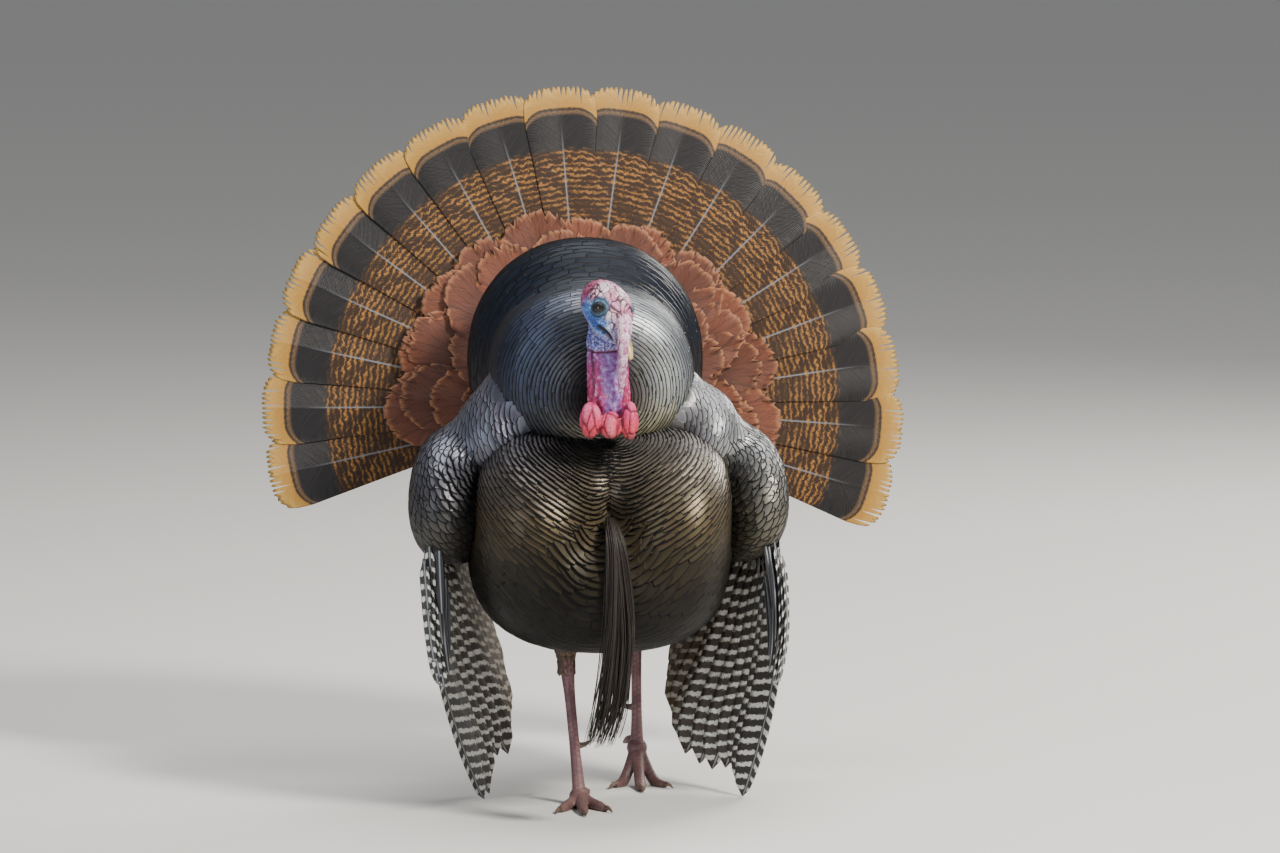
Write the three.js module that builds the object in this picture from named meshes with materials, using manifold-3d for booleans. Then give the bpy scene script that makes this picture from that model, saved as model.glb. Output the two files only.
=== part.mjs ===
// Wild turkey gobbler in full strut, life size and still. Millimetres, facing -Y, +Z up, standing on z = 0.
// Every node reaches to the tips of its feathers. The bird's own right side is -X.
import * as THREE from "three";
import { mergeVertices } from "three/addons/utils/BufferGeometryUtils.js";
import Module from "manifold-3d";

const wasm = await Module();
wasm.setup();

// ---- Driving dimensions, in mm and degrees ----
const GAP = 0.3; // left between two faces that meet
const FLOOR = 0;

const BREAST_FRONT = 240; // from the standing point forward to the breast
const BREAST_HALF_WIDTH = 148;
const BELLY_HEIGHT = 184; // of the belly's underside
const BREAST_TOP = 434; // where the breast meets the ruff
const CAPE_TOP = 641; // of the raised back feathers
const CAPE_RADIUS = 134;
const RUFF_RADIUS = 115;
const WING_HALF_SPAN = 218; // to the outside of the folded wrist

const TAIL = {
  at: [-2, 205, 432], // where the tail's quills meet
  feathers: 18,
  reach: 378, // from there to a feather's tip
  spread: 209, // between the outermost two shafts
  swing: 2.3, // the whole fan turned towards the bird's left
  lean: 7, // back from upright
  cup: 0.07, // how far the sides come forward, as a share of the radius
  tipCurl: 14, // how far the tips curl back
  width: 86,
  quillWidth: 11,
  quillStart: 42,
  stack: 1.7, // each feather lies this far behind its inner neighbour
  thickness: 0.9,
};
const COVERTS = { reach: 236, start: 46, scallops: 13, spread: 206, lift: 26 };
const UNDER_TAIL = { at: [0, 186, 346], radii: [112, 100, 98] };

const HEAD = { at: [-3.4, -204, 581.3], yaw: 27, pitch: 37.5, roll: 5 };
const EYE_RADIUS = 7;
const BILL_LENGTH = 36;
const SNOOD_LENGTH = 84;
const NECK_RADIUS = 22.5;
const BEARD_LENGTH = 250;

const TARSUS_RADIUS = 6.2;
const TOE_RADIUS = 6.4;
const CLAW_LENGTH = 15;
const SPUR_LENGTH = 25;

// ---- Finishes ----
const finish = (colour, roughness, metalness = 0) =>
  new THREE.MeshStandardMaterial({ color: colour, roughness, metalness });
const bronzePlume = finish(0x4a4640, 0.42, 0.25);
const silverPlume = finish(0x5d6066, 0.38, 0.3);
const blackPlume = finish(0x14161c, 0.4, 0.2);
const chestnutPlume = finish(0x7a3f28, 0.7);
const tailPlume = finish(0x8a6238, 0.65);
const quillPlume = finish(0x6d6253, 0.65);
const downPlume = finish(0x3a3029, 0.85);
const blueSkin = finish(0x7f9cc0, 0.5);
const redSkin = finish(0xb5485a, 0.45);
const legSkin = finish(0x8a5a58, 0.5);
const horn = finish(0x5a4a42, 0.4);
const billHorn = finish(0xb99a5e, 0.4);
const eyeGloss = finish(0x2a1710, 0.08);
const bristle = finish(0x15130f, 0.6);

// ---- Solids ----
const radians = THREE.MathUtils.degToRad;
const vector = (p) => new THREE.Vector3(...p);

function toSolid(geometry) {
  const bare = geometry.clone();
  bare.deleteAttribute("normal");
  bare.deleteAttribute("uv");
  const merged = mergeVertices(bare, 1e-3);
  return new wasm.Manifold(
    new wasm.Mesh({
      numProp: 3,
      vertProperties: merged.attributes.position.array,
      triVerts: new Uint32Array(merged.index.array),
    }),
  );
}

function toGeometry(solid) {
  const mesh = solid.getMesh();
  const points = new Float32Array(mesh.numVert * 3);
  for (let i = 0; i < mesh.numVert; i++) {
    points.set(mesh.vertProperties.subarray(i * mesh.numProp, i * mesh.numProp + 3), i * 3);
  }
  const geometry = new THREE.BufferGeometry();
  geometry.setAttribute("position", new THREE.BufferAttribute(points, 3));
  geometry.setIndex(new THREE.BufferAttribute(new Uint32Array(mesh.triVerts), 1));
  return geometry;
}

// A rounded cushion: a sphere stretched to three radii. Above 2, `square` fills out its corners.
function cushion({ at, radii, square = 2, turn = [0, 0, 0], across = 20, down = 12, grow = 0 }) {
  const geometry = new THREE.SphereGeometry(1, across, down);
  const place = geometry.attributes.position;
  for (let i = 0; i < place.count; i++) {
    const p = new THREE.Vector3().fromBufferAttribute(place, i);
    const sum = Math.abs(p.x) ** square + Math.abs(p.y) ** square + Math.abs(p.z) ** square;
    p.multiplyScalar(sum ** (-1 / square));
    place.setXYZ(i, p.x * (radii[0] + grow), p.z * (radii[1] + grow), -p.y * (radii[2] + grow));
  }
  const turned = new THREE.Euler(...turn.map(radians), "ZXY");
  geometry.applyMatrix4(new THREE.Matrix4().makeRotationFromEuler(turned));
  geometry.translate(...at);
  return toSolid(geometry);
}

function flip(geometry) {
  const order = geometry.index;
  for (let i = 0; i < order.count; i += 3) {
    const second = order.getX(i + 1);
    order.setX(i + 1, order.getX(i + 2));
    order.setX(i + 2, second);
  }
}

// A closed surface through rings of points, with a flat cap at each end.
function loft(rings) {
  const around = rings[0].length;
  const points = rings.flat();
  const faces = [];
  for (let r = 0; r + 1 < rings.length; r++) {
    for (let k = 0; k < around; k++) {
      const a = r * around + k;
      const b = r * around + ((k + 1) % around);
      faces.push([a, b, b + around], [a, b + around, a + around]);
    }
  }
  const capCentre = (ring) => {
    const centre = new THREE.Vector3();
    ring.forEach((p) => centre.add(p));
    return centre.divideScalar(around);
  };
  const last = (rings.length - 1) * around;
  points.push(capCentre(rings[0]), capCentre(rings.at(-1)));
  for (let k = 0; k < around; k++) {
    const next = (k + 1) % around;
    faces.push([points.length - 2, next, k], [points.length - 1, last + k, last + next]);
  }
  const geometry = new THREE.BufferGeometry().setFromPoints(points);
  geometry.setIndex(faces.flat());
  const solid = toSolid(geometry);
  if (solid.volume() > 0) return solid;
  flip(geometry);
  return toSolid(geometry);
}

// A tube along a smooth line through `path`. `radii` gives [side, front] at even steps along it.
function limb({ path, radii, around = 10, steps = 12, grow = 0 }) {
  const line = new THREE.CatmullRomCurve3(path.map(vector));
  const rings = [];
  for (let s = 0; s <= steps; s++) {
    const t = s / steps;
    const along = line.getTangentAt(t);
    const side = new THREE.Vector3(1, 0, 0).addScaledVector(along, -along.x).normalize();
    const front = new THREE.Vector3().crossVectors(along, side);
    const place = t * (radii.length - 1);
    const low = Math.min(Math.floor(place), radii.length - 2);
    const [a, b] = [0, 1].map((k) => {
      const size = THREE.MathUtils.lerp(radii[low][k], radii[low + 1][k], place - low);
      return size + grow;
    });
    const ring = [];
    for (let k = 0; k < around; k++) {
      const turn = (k / around) * 2 * Math.PI;
      const p = line.getPointAt(t).clone();
      p.addScaledVector(side, a * Math.cos(turn)).addScaledVector(front, b * Math.sin(turn));
      ring.push(p);
    }
    rings.push(ring);
  }
  return loft(rings);
}

// A thin plate whose middle follows a grid of points. `thick` gives its thickness at a row and column.
function plate(grid, thick) {
  const rows = grid.length;
  const columns = grid[0].length;
  const points = [];
  for (const side of [1, -1]) {
    for (let r = 0; r < rows; r++) {
      for (let c = 0; c < columns; c++) {
        const down = grid[Math.min(r + 1, rows - 1)][c].clone().sub(grid[Math.max(r - 1, 0)][c]);
        const over = grid[r][Math.min(c + 1, columns - 1)].clone().sub(grid[r][Math.max(c - 1, 0)]);
        const normal = down.cross(over).normalize();
        points.push(grid[r][c].clone().addScaledVector(normal, (side * thick(r, c)) / 2));
      }
    }
  }
  const under = rows * columns;
  const faces = [];
  const at = (r, c) => r * columns + c;
  for (let r = 0; r + 1 < rows; r++) {
    for (let c = 0; c + 1 < columns; c++) {
      const [a, b, d, e] = [at(r, c), at(r, c + 1), at(r + 1, c + 1), at(r + 1, c)];
      faces.push([a, e, d], [a, d, b]);
      faces.push([under + a, under + d, under + e], [under + a, under + b, under + d]);
    }
  }
  const rim = [];
  for (let c = 0; c < columns; c++) rim.push(at(0, c));
  for (let r = 1; r < rows; r++) rim.push(at(r, columns - 1));
  for (let c = columns - 2; c >= 0; c--) rim.push(at(rows - 1, c));
  for (let r = rows - 2; r > 0; r--) rim.push(at(r, 0));
  rim.forEach((a, k) => {
    const b = rim[(k + 1) % rim.length];
    faces.push([a, b, under + b], [a, under + b, under + a]);
  });
  const geometry = new THREE.BufferGeometry().setFromPoints(points);
  geometry.setIndex(faces.flat());
  const solid = toSolid(geometry);
  if (solid.volume() > 0) return solid;
  flip(geometry);
  return toSolid(geometry);
}

const join = (...solids) => solids.reduce((whole, next) => whole.add(next));

function cutAt(solid, size, at) {
  return solid.subtract(toSolid(new THREE.BoxGeometry(...size).translate(...at)));
}
const standOnFloor = (solid) => cutAt(solid, [1200, 1200, 100], [0, 0, FLOOR - 50]);

// ---- Placing the nodes ----
const bird = new THREE.Group();
const placed = [];

// Each node is cut back by those placed before it, so that they meet at the gap. `make` takes the growth to carve with.
function place(name, material, make, { onFloor = false } = {}) {
  let solid = make(0);
  const bounds = (s) => {
    const box = s.boundingBox();
    return new THREE.Box3(vector(box.min), vector(box.max));
  };
  const grown = make(GAP);
  for (const other of placed) {
    if (other.bounds.intersectsBox(bounds(solid))) solid = solid.subtract(other.grown);
  }
  if (onFloor) solid = standOnFloor(solid);
  const pieces = solid.decompose();
  solid = pieces.reduce((most, piece) => (piece.volume() > most.volume() ? piece : most));
  placed.push({ grown, bounds: bounds(grown) });
  const mesh = new THREE.Mesh(toGeometry(solid), material);
  mesh.name = name;
  bird.add(mesh);
}

const SIDES = [
  { name: "right", x: -1 },
  { name: "left", x: 1 },
];

// ---- Head ----
const headTurn = new THREE.Matrix4()
  .makeRotationFromEuler(new THREE.Euler(radians(HEAD.pitch), radians(HEAD.roll), radians(HEAD.yaw), "ZXY"))
  .setPosition(...HEAD.at);
const onHead = (p) => vector(p).applyMatrix4(headTurn);

// An egg-shaped section of the head at `y`, with its half width, top and bottom.
function headRing([y, half, top, bottom], grow = 0, around = 12) {
  const ring = [];
  for (let k = 0; k < around; k++) {
    const turn = (k / around) * 2 * Math.PI;
    const middle = (top + bottom) / 2;
    const high = (top - bottom) / 2 + grow;
    const p = [(half + grow) * Math.cos(turn), y, middle + high * Math.sin(turn)];
    ring.push(onHead(p));
  }
  return ring;
}
const SKULL = [
  [41, 9, 6.6, -11],
  [34, 16.5, 15.4, -18.7],
  [20, 23.6, 24.2, -25.3],
  [2, 25.8, 27.5, -26.4],
  [-14.5, 23, 24.8, -25.3],
  [-27.5, 17.6, 16.5, -22],
  [-38.5, 10, 5.5, -15.4],
];
const EYES = { out: 18.7, forward: -8, up: 9.6 };

function eye(side, grow) {
  const at = onHead([side.x * EYES.out, EYES.forward, EYES.up]).toArray();
  const size = EYE_RADIUS + grow;
  return cushion({ at, radii: [size, size, size], across: 9, down: 6 });
}

// A half of the bill from its base to its tip, curved down by `hook`.
function billHalf({ base, half, top, bottom, length, hook }, grow) {
  const rings = [0, 0.4, 0.75, 1].map((t) => {
    const drop = hook * t * t;
    const taper = Math.sqrt(1 - (0.97 * t) ** 2);
    return headRing(
      [base - length * t, half * taper, top * taper - drop, bottom * taper - drop],
      grow,
      8,
    );
  });
  return loft(rings);
}
const UPPER_BILL = { base: -35, half: 9, top: 5, bottom: -6, length: BILL_LENGTH, hook: 9.4 };
const LOWER_BILL = { base: -34, half: 7.5, top: -6.8, bottom: -13.8, length: 28.5, hook: 3.3 };

for (const side of SIDES) place("eye_" + side.name, eyeGloss, (grow) => eye(side, grow));
place("head", blueSkin, (grow) => loft(SKULL.map((section) => headRing(section, grow))));
place("bill_upper", billHorn, (grow) => billHalf(UPPER_BILL, grow));
place("bill_lower", billHorn, (grow) => billHalf(LOWER_BILL, grow));

// The snood springs from the forehead and hangs down beside the bill.
const snoodRoot = onHead([-1, -29, 14]);
place("snood", redSkin, (grow) => {
  const down = (share, out, front) => [
    snoodRoot.x + out,
    snoodRoot.y - front,
    snoodRoot.z - share * SNOOD_LENGTH,
  ];
  return limb({
    path: [down(-0.02, 0, -2), down(0.1, 1, 9), down(0.35, -1, 19), down(0.71, -2, 14), down(1, -3, 6)],
    radii: [[7.5, 7], [8.8, 7.5], [6.4, 6], [4.8, 4.4], [2.6, 2.6]],
    around: 6,
    steps: 6,
    grow,
  });
});

// ---- Neck and its wattles ----
const WATTLES = [
  { at: [-25, -236, 461], radii: [12.5, 13, 21] },
  { at: [18, -236, 460], radii: [10.5, 12, 22] },
  { at: [-3, -239, 456], radii: [13, 10, 15.5] },
];
place("neck", redSkin, (grow) =>
  limb({
    path: [[-6, -176, 572], [-5, -198, 548], [-4, -209, 515], [-3, -210, 480], [-3, -196, 448]],
    radii: [[14, 15], [20, 19], [NECK_RADIUS, 21], [23, 21], [26, 20]],
    around: 8,
    steps: 5,
    grow,
  }),
);
place("wattles", redSkin, (grow) =>
  join(...WATTLES.map((lobe) => cushion({ ...lobe, across: 8, down: 6, grow }))),
);

// ---- Body: cushions of erected feathers ----
place("belly", bronzePlume, (grow) =>
  cushion({
    at: [-2, -24, 280],
    radii: [BREAST_HALF_WIDTH - 2, BREAST_FRONT - 20, 280 - BELLY_HEIGHT],
    square: 2.45,
    turn: [3, 0, 0],
    across: 16,
    down: 9,
    grow,
  }),
);
place("back", blackPlume, (grow) =>
  cushion({
    at: [-11, 50, 503],
    radii: [CAPE_RADIUS, 134, CAPE_TOP - 503],
    square: 2.1,
    across: 16,
    down: 9,
    grow,
  }),
);
place("ruff", silverPlume, (grow) =>
  cushion({
    at: [-12, -80, 498],
    radii: [RUFF_RADIUS, 122, 100],
    square: 2.15,
    across: 16,
    down: 9,
    grow,
  }),
);
const breastBottom = 250;
const breastHeight = (BREAST_TOP + 14 - breastBottom) / 2;
for (const side of SIDES) {
  place("breast_" + side.name, bronzePlume, (grow) => {
    const lobe = cushion({
      at: [side.x * (BREAST_HALF_WIDTH - 80) - 2, -72, breastBottom + breastHeight],
      radii: [80, BREAST_FRONT - 72, breastHeight],
      square: 2.35,
      across: 12,
      down: 8,
      grow,
    });
    const half = 200;
    return cutAt(lobe, [half, 900, 900], [-2 - side.x * (half / 2 - GAP / 2 + grow), 0, 300]);
  });
}
for (const side of SIDES) {
  place("shoulder_" + side.name, silverPlume, (grow) =>
    cushion({
      at: [side.x * 112 - 4, -62, 432],
      radii: [48, 88, 52],
      turn: [0, side.x * 10, 0],
      across: 10,
      down: 6,
      grow,
    }),
  );
}

// ---- Wings ----
for (const side of SIDES) {
  place("wing_" + side.name, bronzePlume, (grow) =>
    cushion({
      at: [side.x * (WING_HALF_SPAN - 58) - 3, 4, 352],
      radii: [52, 150, 80],
      square: 2.25,
      turn: [-5, side.x * -4, side.x * 7],
      across: 12,
      down: 8,
      grow,
    }),
  );
}

// Where each wing's flight feathers start, and where their tips lie, from the leading one to the last.
const WING_ROOTS = [[200, -82, 312], [194, 6, 318], [176, 76, 330], [150, 140, 348]];
const WING_TIPS = {
  right: [[133, -8, -4], [122, 34, 2], [104, 66, 20], [92, 100, 62], [98, 142, 120], [122, 186, 196]],
  left: [[168, -8, -4], [150, 34, 2], [122, 66, 20], [92, 100, 62], [96, 142, 120], [120, 186, 196]],
};
// The folded leading edge of each wing, from the wrist down.
const FOREARMS = {
  right: [[186, -92, 312], [184, -88, 255], [180, -74, 195], [172, -56, 138]],
  left: [[180, -92, 312], [190, -88, 255], [194, -74, 195], [190, -56, 138]],
};
const WING_BOW = 17; // how far the long feathers bow outwards
const PRIMARIES = { from: 0, to: 0.5, feathers: 6, notch: 0.09 };
const SECONDARIES = { from: 0.505, to: 1, feathers: 5, notch: 0.08 };

function flightFeathers(side, { from, to, feathers, notch }, grow) {
  const roots = new THREE.CatmullRomCurve3(WING_ROOTS.map(vector));
  const tips = new THREE.CatmullRomCurve3(WING_TIPS[side.name].map(vector));
  const rows = 3;
  const perFeather = 2;
  const grid = [];
  for (let r = 0; r <= rows; r++) {
    const row = [];
    for (let c = 0; c <= feathers * perFeather; c++) {
      const share = from + ((to - from) * c) / (feathers * perFeather);
      const edge = Math.abs(((c % perFeather) / perFeather) * 2 - 1) ** 2;
      const reach = (r / rows) * (1 - notch * edge * (r / rows) ** 3);
      const p = roots.getPoint(share).lerp(tips.getPoint(share), reach);
      p.x += WING_BOW * Math.sin(Math.PI * reach);
      p.x *= side.x;
      row.push(p);
    }
    grid.push(row);
  }
  return plate(grid, (r) => 3.2 - (2.2 * r) / rows + 2 * grow);
}
for (const side of SIDES) {
  place("primaries_" + side.name, quillPlume, (grow) => flightFeathers(side, PRIMARIES, grow), {
    onFloor: true,
  });
  place("secondaries_" + side.name, quillPlume, (grow) => flightFeathers(side, SECONDARIES, grow));
  place("alula_" + side.name, blackPlume, (grow) => {
    return limb({
      path: FOREARMS[side.name].map(([x, y, z]) => [side.x * x, y, z]),
      radii: [[16, 13], [14, 12], [10, 9], [3, 3]],
      around: 7,
      steps: 5,
      grow,
    });
  });
}

// ---- Tail: a dish that every feather follows, each behind its inner neighbour ----
const tailUp = new THREE.Vector3(0, Math.sin(radians(TAIL.lean)), Math.cos(radians(TAIL.lean)));
const tailFront = new THREE.Vector3(0, -tailUp.z, tailUp.y);

// The point at `across` and `along` a shaft that stands at `angle`, `front` of the dish.
function onTail(angle, along, across, front) {
  const x = along * Math.sin(angle) + across * Math.cos(angle);
  const z = along * Math.cos(angle) - across * Math.sin(angle);
  const radius = Math.hypot(x, z);
  const sideways = radius ? (x / radius) ** 2 : 0;
  const dish = TAIL.cup * radius * sideways - TAIL.tipCurl * (radius / TAIL.reach) ** 3;
  const p = vector(TAIL.at).addScaledVector(tailUp, z).addScaledVector(tailFront, front + dish);
  p.x += x;
  return p;
}

function tailFeather(index, grow) {
  const middle = (TAIL.feathers - 1) / 2;
  const angle = radians(TAIL.swing + (TAIL.spread * (index - middle)) / (TAIL.feathers - 1));
  const order = index > middle ? index - middle : middle - index - 0.5;
  const rows = 3;
  const grid = [];
  for (let r = 0; r <= rows; r++) {
    const v = r / rows;
    const half = THREE.MathUtils.lerp(TAIL.quillWidth, TAIL.width, Math.min(1, v * 1.15) ** 1.1) / 2;
    grid.push(
      [-1, -0.45, 0.45, 1].map((u) => {
        const tip = TAIL.reach * (1 - 0.055 * Math.abs(u) ** 2.6) + grow;
        const along = TAIL.quillStart + v * (tip - TAIL.quillStart);
        return onTail(angle, along, u * (half + grow), -order * TAIL.stack);
      }),
    );
  }
  return plate(grid, () => TAIL.thickness + 2 * grow);
}

place("tail_root", downPlume, (grow) =>
  cushion({ at: TAIL.at, radii: [44, 42, 44], across: 9, down: 6, grow }),
);
for (let k = 0; k < TAIL.feathers; k++) {
  const number = String(k + 1).padStart(2, "0");
  place("tail_feather_" + number, tailPlume, (grow) => tailFeather(k, grow));
}

// The chestnut coverts over the tail's base: one thick fan with a scalloped edge.
place("tail_coverts", chestnutPlume, (grow) => {
  const perScallop = 2;
  const columns = COVERTS.scallops * perScallop;
  const rows = 2;
  const grid = [];
  for (let r = 0; r <= rows; r++) {
    const row = [];
    for (let c = 0; c <= columns; c++) {
      const angle = radians(TAIL.swing + COVERTS.spread * (c / columns - 0.5));
      const edge = Math.abs(((c % perScallop) / perScallop) * 2 - 1) ** 2;
      const reach = COVERTS.reach * (1 - 0.05 * edge) + grow;
      const along = COVERTS.start - grow + (r / rows) * (reach - COVERTS.start + grow);
      const lift = 4 + COVERTS.lift * (1 - r / rows) ** 1.4;
      const across = grow * Math.sign(Math.round(10 * (c / columns - 0.5)));
      row.push(onTail(angle, along, across, lift));
    }
    grid.push(row);
  }
  return plate(grid, (r) => 5 - 1.5 * r + 2 * grow);
});

// ---- Belly, flanks and the feathers under the tail ----
// Those behind the fan stand clear of it at the top.
place("under_tail", chestnutPlume, (grow) =>
  cutAt(
    cushion({ ...UNDER_TAIL, turn: [-18, 0, 0], across: 12, down: 7, grow }),
    [600, 400, 200],
    [0, 16 - grow, 492 + grow],
  ),
);

// ---- Legs: the right one stands flat in front, the left one pushes off behind ----
const LEGS = {
  right: {
    hip: [-38, 8, 232],
    hock: [-37, -8, 163],
    ball: [-25, -52, 10],
    heel: 13,
    spread: 19,
    spurAt: 0.62,
  },
  left: {
    hip: [52, 60, 232],
    hock: [53, 118, 186],
    ball: [54, 116, 41],
    heel: 36,
    spread: 25,
    spurAt: 0.66,
  },
};
const TOES = [
  // turned by this many times the foot's spread
  { name: "inner", turn: 1.35, length: 60 },
  { name: "middle", turn: 0, length: 80 },
  { name: "outer", turn: -1.3, length: 62 },
];

// A toe's line from the ball of the foot to its claw, coming down to the floor.
function toeLine(side, leg, toe) {
  const inward = -side.x;
  const angle = radians(leg.spread * toe.turn) * inward;
  const rest = TOE_RADIUS * 0.72;
  const slope = Math.max(0, leg.ball[2] - rest - 6);
  const flat = Math.sqrt(toe.length ** 2 - slope ** 2);
  const at = (share, height) => [
    leg.ball[0] + Math.sin(angle) * flat * share,
    leg.ball[1] - Math.cos(angle) * flat * share,
    height,
  ];
  const lift = (share) => rest + (leg.ball[2] - rest) * Math.max(0, 1 - share / 0.62) ** 1.1;
  return [at(0, leg.ball[2]), at(0.3, lift(0.3)), at(0.65, lift(0.65)), at(1, rest * 0.72)];
}

function claw(side, leg, toe, grow) {
  const line = toeLine(side, leg, toe);
  const end = vector(line[3]);
  const ahead = end.clone().sub(vector(line[2])).setZ(0).normalize();
  const at = (share, height) => end.clone().addScaledVector(ahead, share * CLAW_LENGTH).setZ(height).toArray();
  return limb({
    path: [at(-0.15, 4.6), at(0.35, 5.4), at(0.75, 3.6), at(1, 1.2)],
    radii: [[3.4, 3.2], [3, 2.8], [1.9, 1.8], [0.6, 0.6]],
    around: 6,
    steps: 3,
    grow,
  });
}

for (const side of SIDES) {
  const leg = LEGS[side.name];
  const [hockX, hockY, hockZ] = leg.hock;
  const [ballX, ballY, ballZ] = leg.ball;
  const shank = (share) => [
    THREE.MathUtils.lerp(hockX, ballX, share),
    THREE.MathUtils.lerp(hockY, ballY, share),
    THREE.MathUtils.lerp(hockZ, ballZ, share),
  ];
  const foot = (grow) => {
    const toes = TOES.map((toe) =>
      limb({
        path: toeLine(side, leg, toe),
        radii: [[9, 8], [TOE_RADIUS + 0.8, TOE_RADIUS], [TOE_RADIUS, 5.6], [TOE_RADIUS, 5.8], [4, 3.8]],
        around: 6,
        steps: 4,
        grow,
      }),
    );
    const ball = cushion({ at: leg.ball, radii: [12, 12, 11], across: 8, down: 6, grow });
    const hallux = limb({
      path: [
        [ballX, ballY + 4, ballZ + 8],
        [ballX - side.x * 8, ballY + 16, ballZ + leg.heel * 0.2],
        [ballX - side.x * 13, ballY + 30, ballZ + 2],
      ],
      radii: [[6, 6], [5, 5], [2, 2]],
      around: 6,
      steps: 3,
      grow,
    });
    return join(ball, hallux, ...toes);
  };
  place("foot_" + side.name, legSkin, foot, { onFloor: true });
  for (const toe of TOES) {
    place(`claw_${side.name}_${toe.name}`, horn, (grow) => claw(side, leg, toe, grow), { onFloor: true });
  }
  place("thigh_" + side.name, downPlume, (grow) =>
    limb({
      path: [leg.hip, [(leg.hip[0] + hockX) / 2, (leg.hip[1] + hockY) / 2, (leg.hip[2] + hockZ) / 2 + 4], leg.hock],
      radii: [[30, 36], [20, 24], [10.5, 13]],
      around: 8,
      steps: 4,
      grow,
    }),
  );
  place("shank_" + side.name, legSkin, (grow) =>
    limb({
      path: [shank(-0.1), shank(0.05), shank(0.3), shank(0.7), shank(1)],
      radii: [[9.5, 12], [8.5, 10.5], [TARSUS_RADIUS, 7.6], [TARSUS_RADIUS, 7.4], [8, 8]],
      around: 7,
      steps: 5,
      grow,
    }),
  );
  // The spur points in towards the other leg and back.
  place("spur_" + side.name, horn, (grow) => {
    const [x, y, z] = shank(leg.spurAt);
    const inward = -side.x;
    const at = (share, rise) => [
      x + inward * SPUR_LENGTH * share * 0.8,
      y + 3 + SPUR_LENGTH * share * 0.6,
      z + rise,
    ];
    return limb({
      path: [at(0.05, -2), at(0.45, -3), at(0.8, -1), at(1.05, 2)],
      radii: [[5.4, 5.4], [3.8, 3.8], [2.2, 2.2], [0.6, 0.6]],
      around: 6,
      steps: 4,
      grow,
    });
  });
}

// ---- Beard: a tassel of bristles from the cleft of the breast ----
place("beard", bristle, (grow) =>
  limb({
    path: [
      [-2, -214, 350],
      [0, -240, 336],
      [4, -249, 300],
      [7, -248, 220],
      [1, -240, 140],
      [-10, -232, 350 - BEARD_LENGTH],
    ],
    radii: [[4, 4], [8, 6], [12, 8], [17, 10], [15, 10], [7, 5]],
    around: 7,
    steps: 7,
    grow,
  }),
);

// The origin is on the floor, under the middle of the whole bird.
const extent = new THREE.Box3().setFromObject(bird);
const centre = extent.getCenter(new THREE.Vector3());
bird.position.set(-centre.x, -centre.y, 0);

export default bird;
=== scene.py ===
import math
import time

import bpy
import numpy as np
from mathutils import Matrix, Vector, noise


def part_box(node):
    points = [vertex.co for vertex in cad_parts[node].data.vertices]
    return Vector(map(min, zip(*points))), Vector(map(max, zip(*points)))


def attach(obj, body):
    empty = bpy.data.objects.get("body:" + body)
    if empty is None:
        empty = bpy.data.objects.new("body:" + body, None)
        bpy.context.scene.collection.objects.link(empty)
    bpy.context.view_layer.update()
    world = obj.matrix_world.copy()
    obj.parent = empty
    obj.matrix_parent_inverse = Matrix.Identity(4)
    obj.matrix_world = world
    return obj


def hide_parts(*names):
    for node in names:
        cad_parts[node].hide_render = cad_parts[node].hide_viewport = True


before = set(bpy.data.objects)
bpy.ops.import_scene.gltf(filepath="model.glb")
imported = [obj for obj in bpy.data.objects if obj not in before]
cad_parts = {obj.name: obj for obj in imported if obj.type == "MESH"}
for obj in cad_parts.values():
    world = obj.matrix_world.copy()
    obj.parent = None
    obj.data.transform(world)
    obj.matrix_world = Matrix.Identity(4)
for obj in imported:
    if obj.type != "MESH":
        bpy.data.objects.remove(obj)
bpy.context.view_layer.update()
started = time.time()
chance = np.random.default_rng(11)


def say(stage):
    print(f"{stage} at {time.time() - started:.1f} s")


# Lengths below are millimetres in the bird's own plan, where it stands at 0, 0 and faces -Y.
def turnMatrix(x=0, y=0, z=0):
    turns = ((z, "Z"), (x, "X"), (y, "Y"))
    matrix = Matrix.Identity(3)
    for degrees, axis in turns:
        matrix = matrix @ Matrix.Rotation(math.radians(degrees), 3, axis)
    return np.array(matrix)


headPlan = {"at": (-3.4, -204, 581.3), "turn": (37.5, 5, 27), "eye": (18.7, -8, 9.6), "eyeRadius": 7.0}
headBasis = turnMatrix(*headPlan["turn"])


def onHead(points):
    return np.asarray(points, float) @ headBasis.T + np.array(headPlan["at"])


low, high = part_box("eye_right")
eyeOut, eyeForward, eyeUp = headPlan["eye"]
planShift = np.array((low + high) / 2) * 1000 - onHead((-eyeOut, eyeForward, eyeUp))


def toFrame(points):
    return (np.asarray(points, float) + planShift) / 1000


def mix(a, b, share):
    return a + (b - a) * share


def smooth(low, high, value):
    share = np.clip((np.asarray(value, float) - low) / (high - low), 0, 1)
    return share * share * (3 - 2 * share)


# Camera, light and floor
cameraPlan = {
    "azimuth": -4.5, "elevation": 6, "distance": 9.0,
    "width": 1.472,  # of the view at the bird
    "aim": (0.0483, 0.427),  # right of and above where the bird stands
}


def makeCamera():
    turn, lift = math.radians(cameraPlan["azimuth"]), math.radians(cameraPlan["elevation"])
    back = Vector((math.sin(turn) * math.cos(lift), -math.cos(turn) * math.cos(lift), math.sin(lift)))
    right = Vector((math.cos(turn), math.sin(turn), 0))
    up = back.cross(right)
    aim = Vector(toFrame((0, 0, 0))) + right * cameraPlan["aim"][0] + up * cameraPlan["aim"][1]
    bpy.ops.object.select_all(action="DESELECT")
    bpy.ops.object.camera_add(location=aim + back * cameraPlan["distance"])
    camera = bpy.context.object
    camera.name = "viewCamera"
    camera.rotation_mode = "QUATERNION"
    camera.rotation_quaternion = (-back).to_track_quat("-Z", "Y")
    camera.data.sensor_width = 36
    camera.data.lens = 18 * cameraPlan["distance"] / (cameraPlan["width"] / 2)
    camera.data.clip_end = 60
    bpy.context.scene.camera = camera


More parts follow.
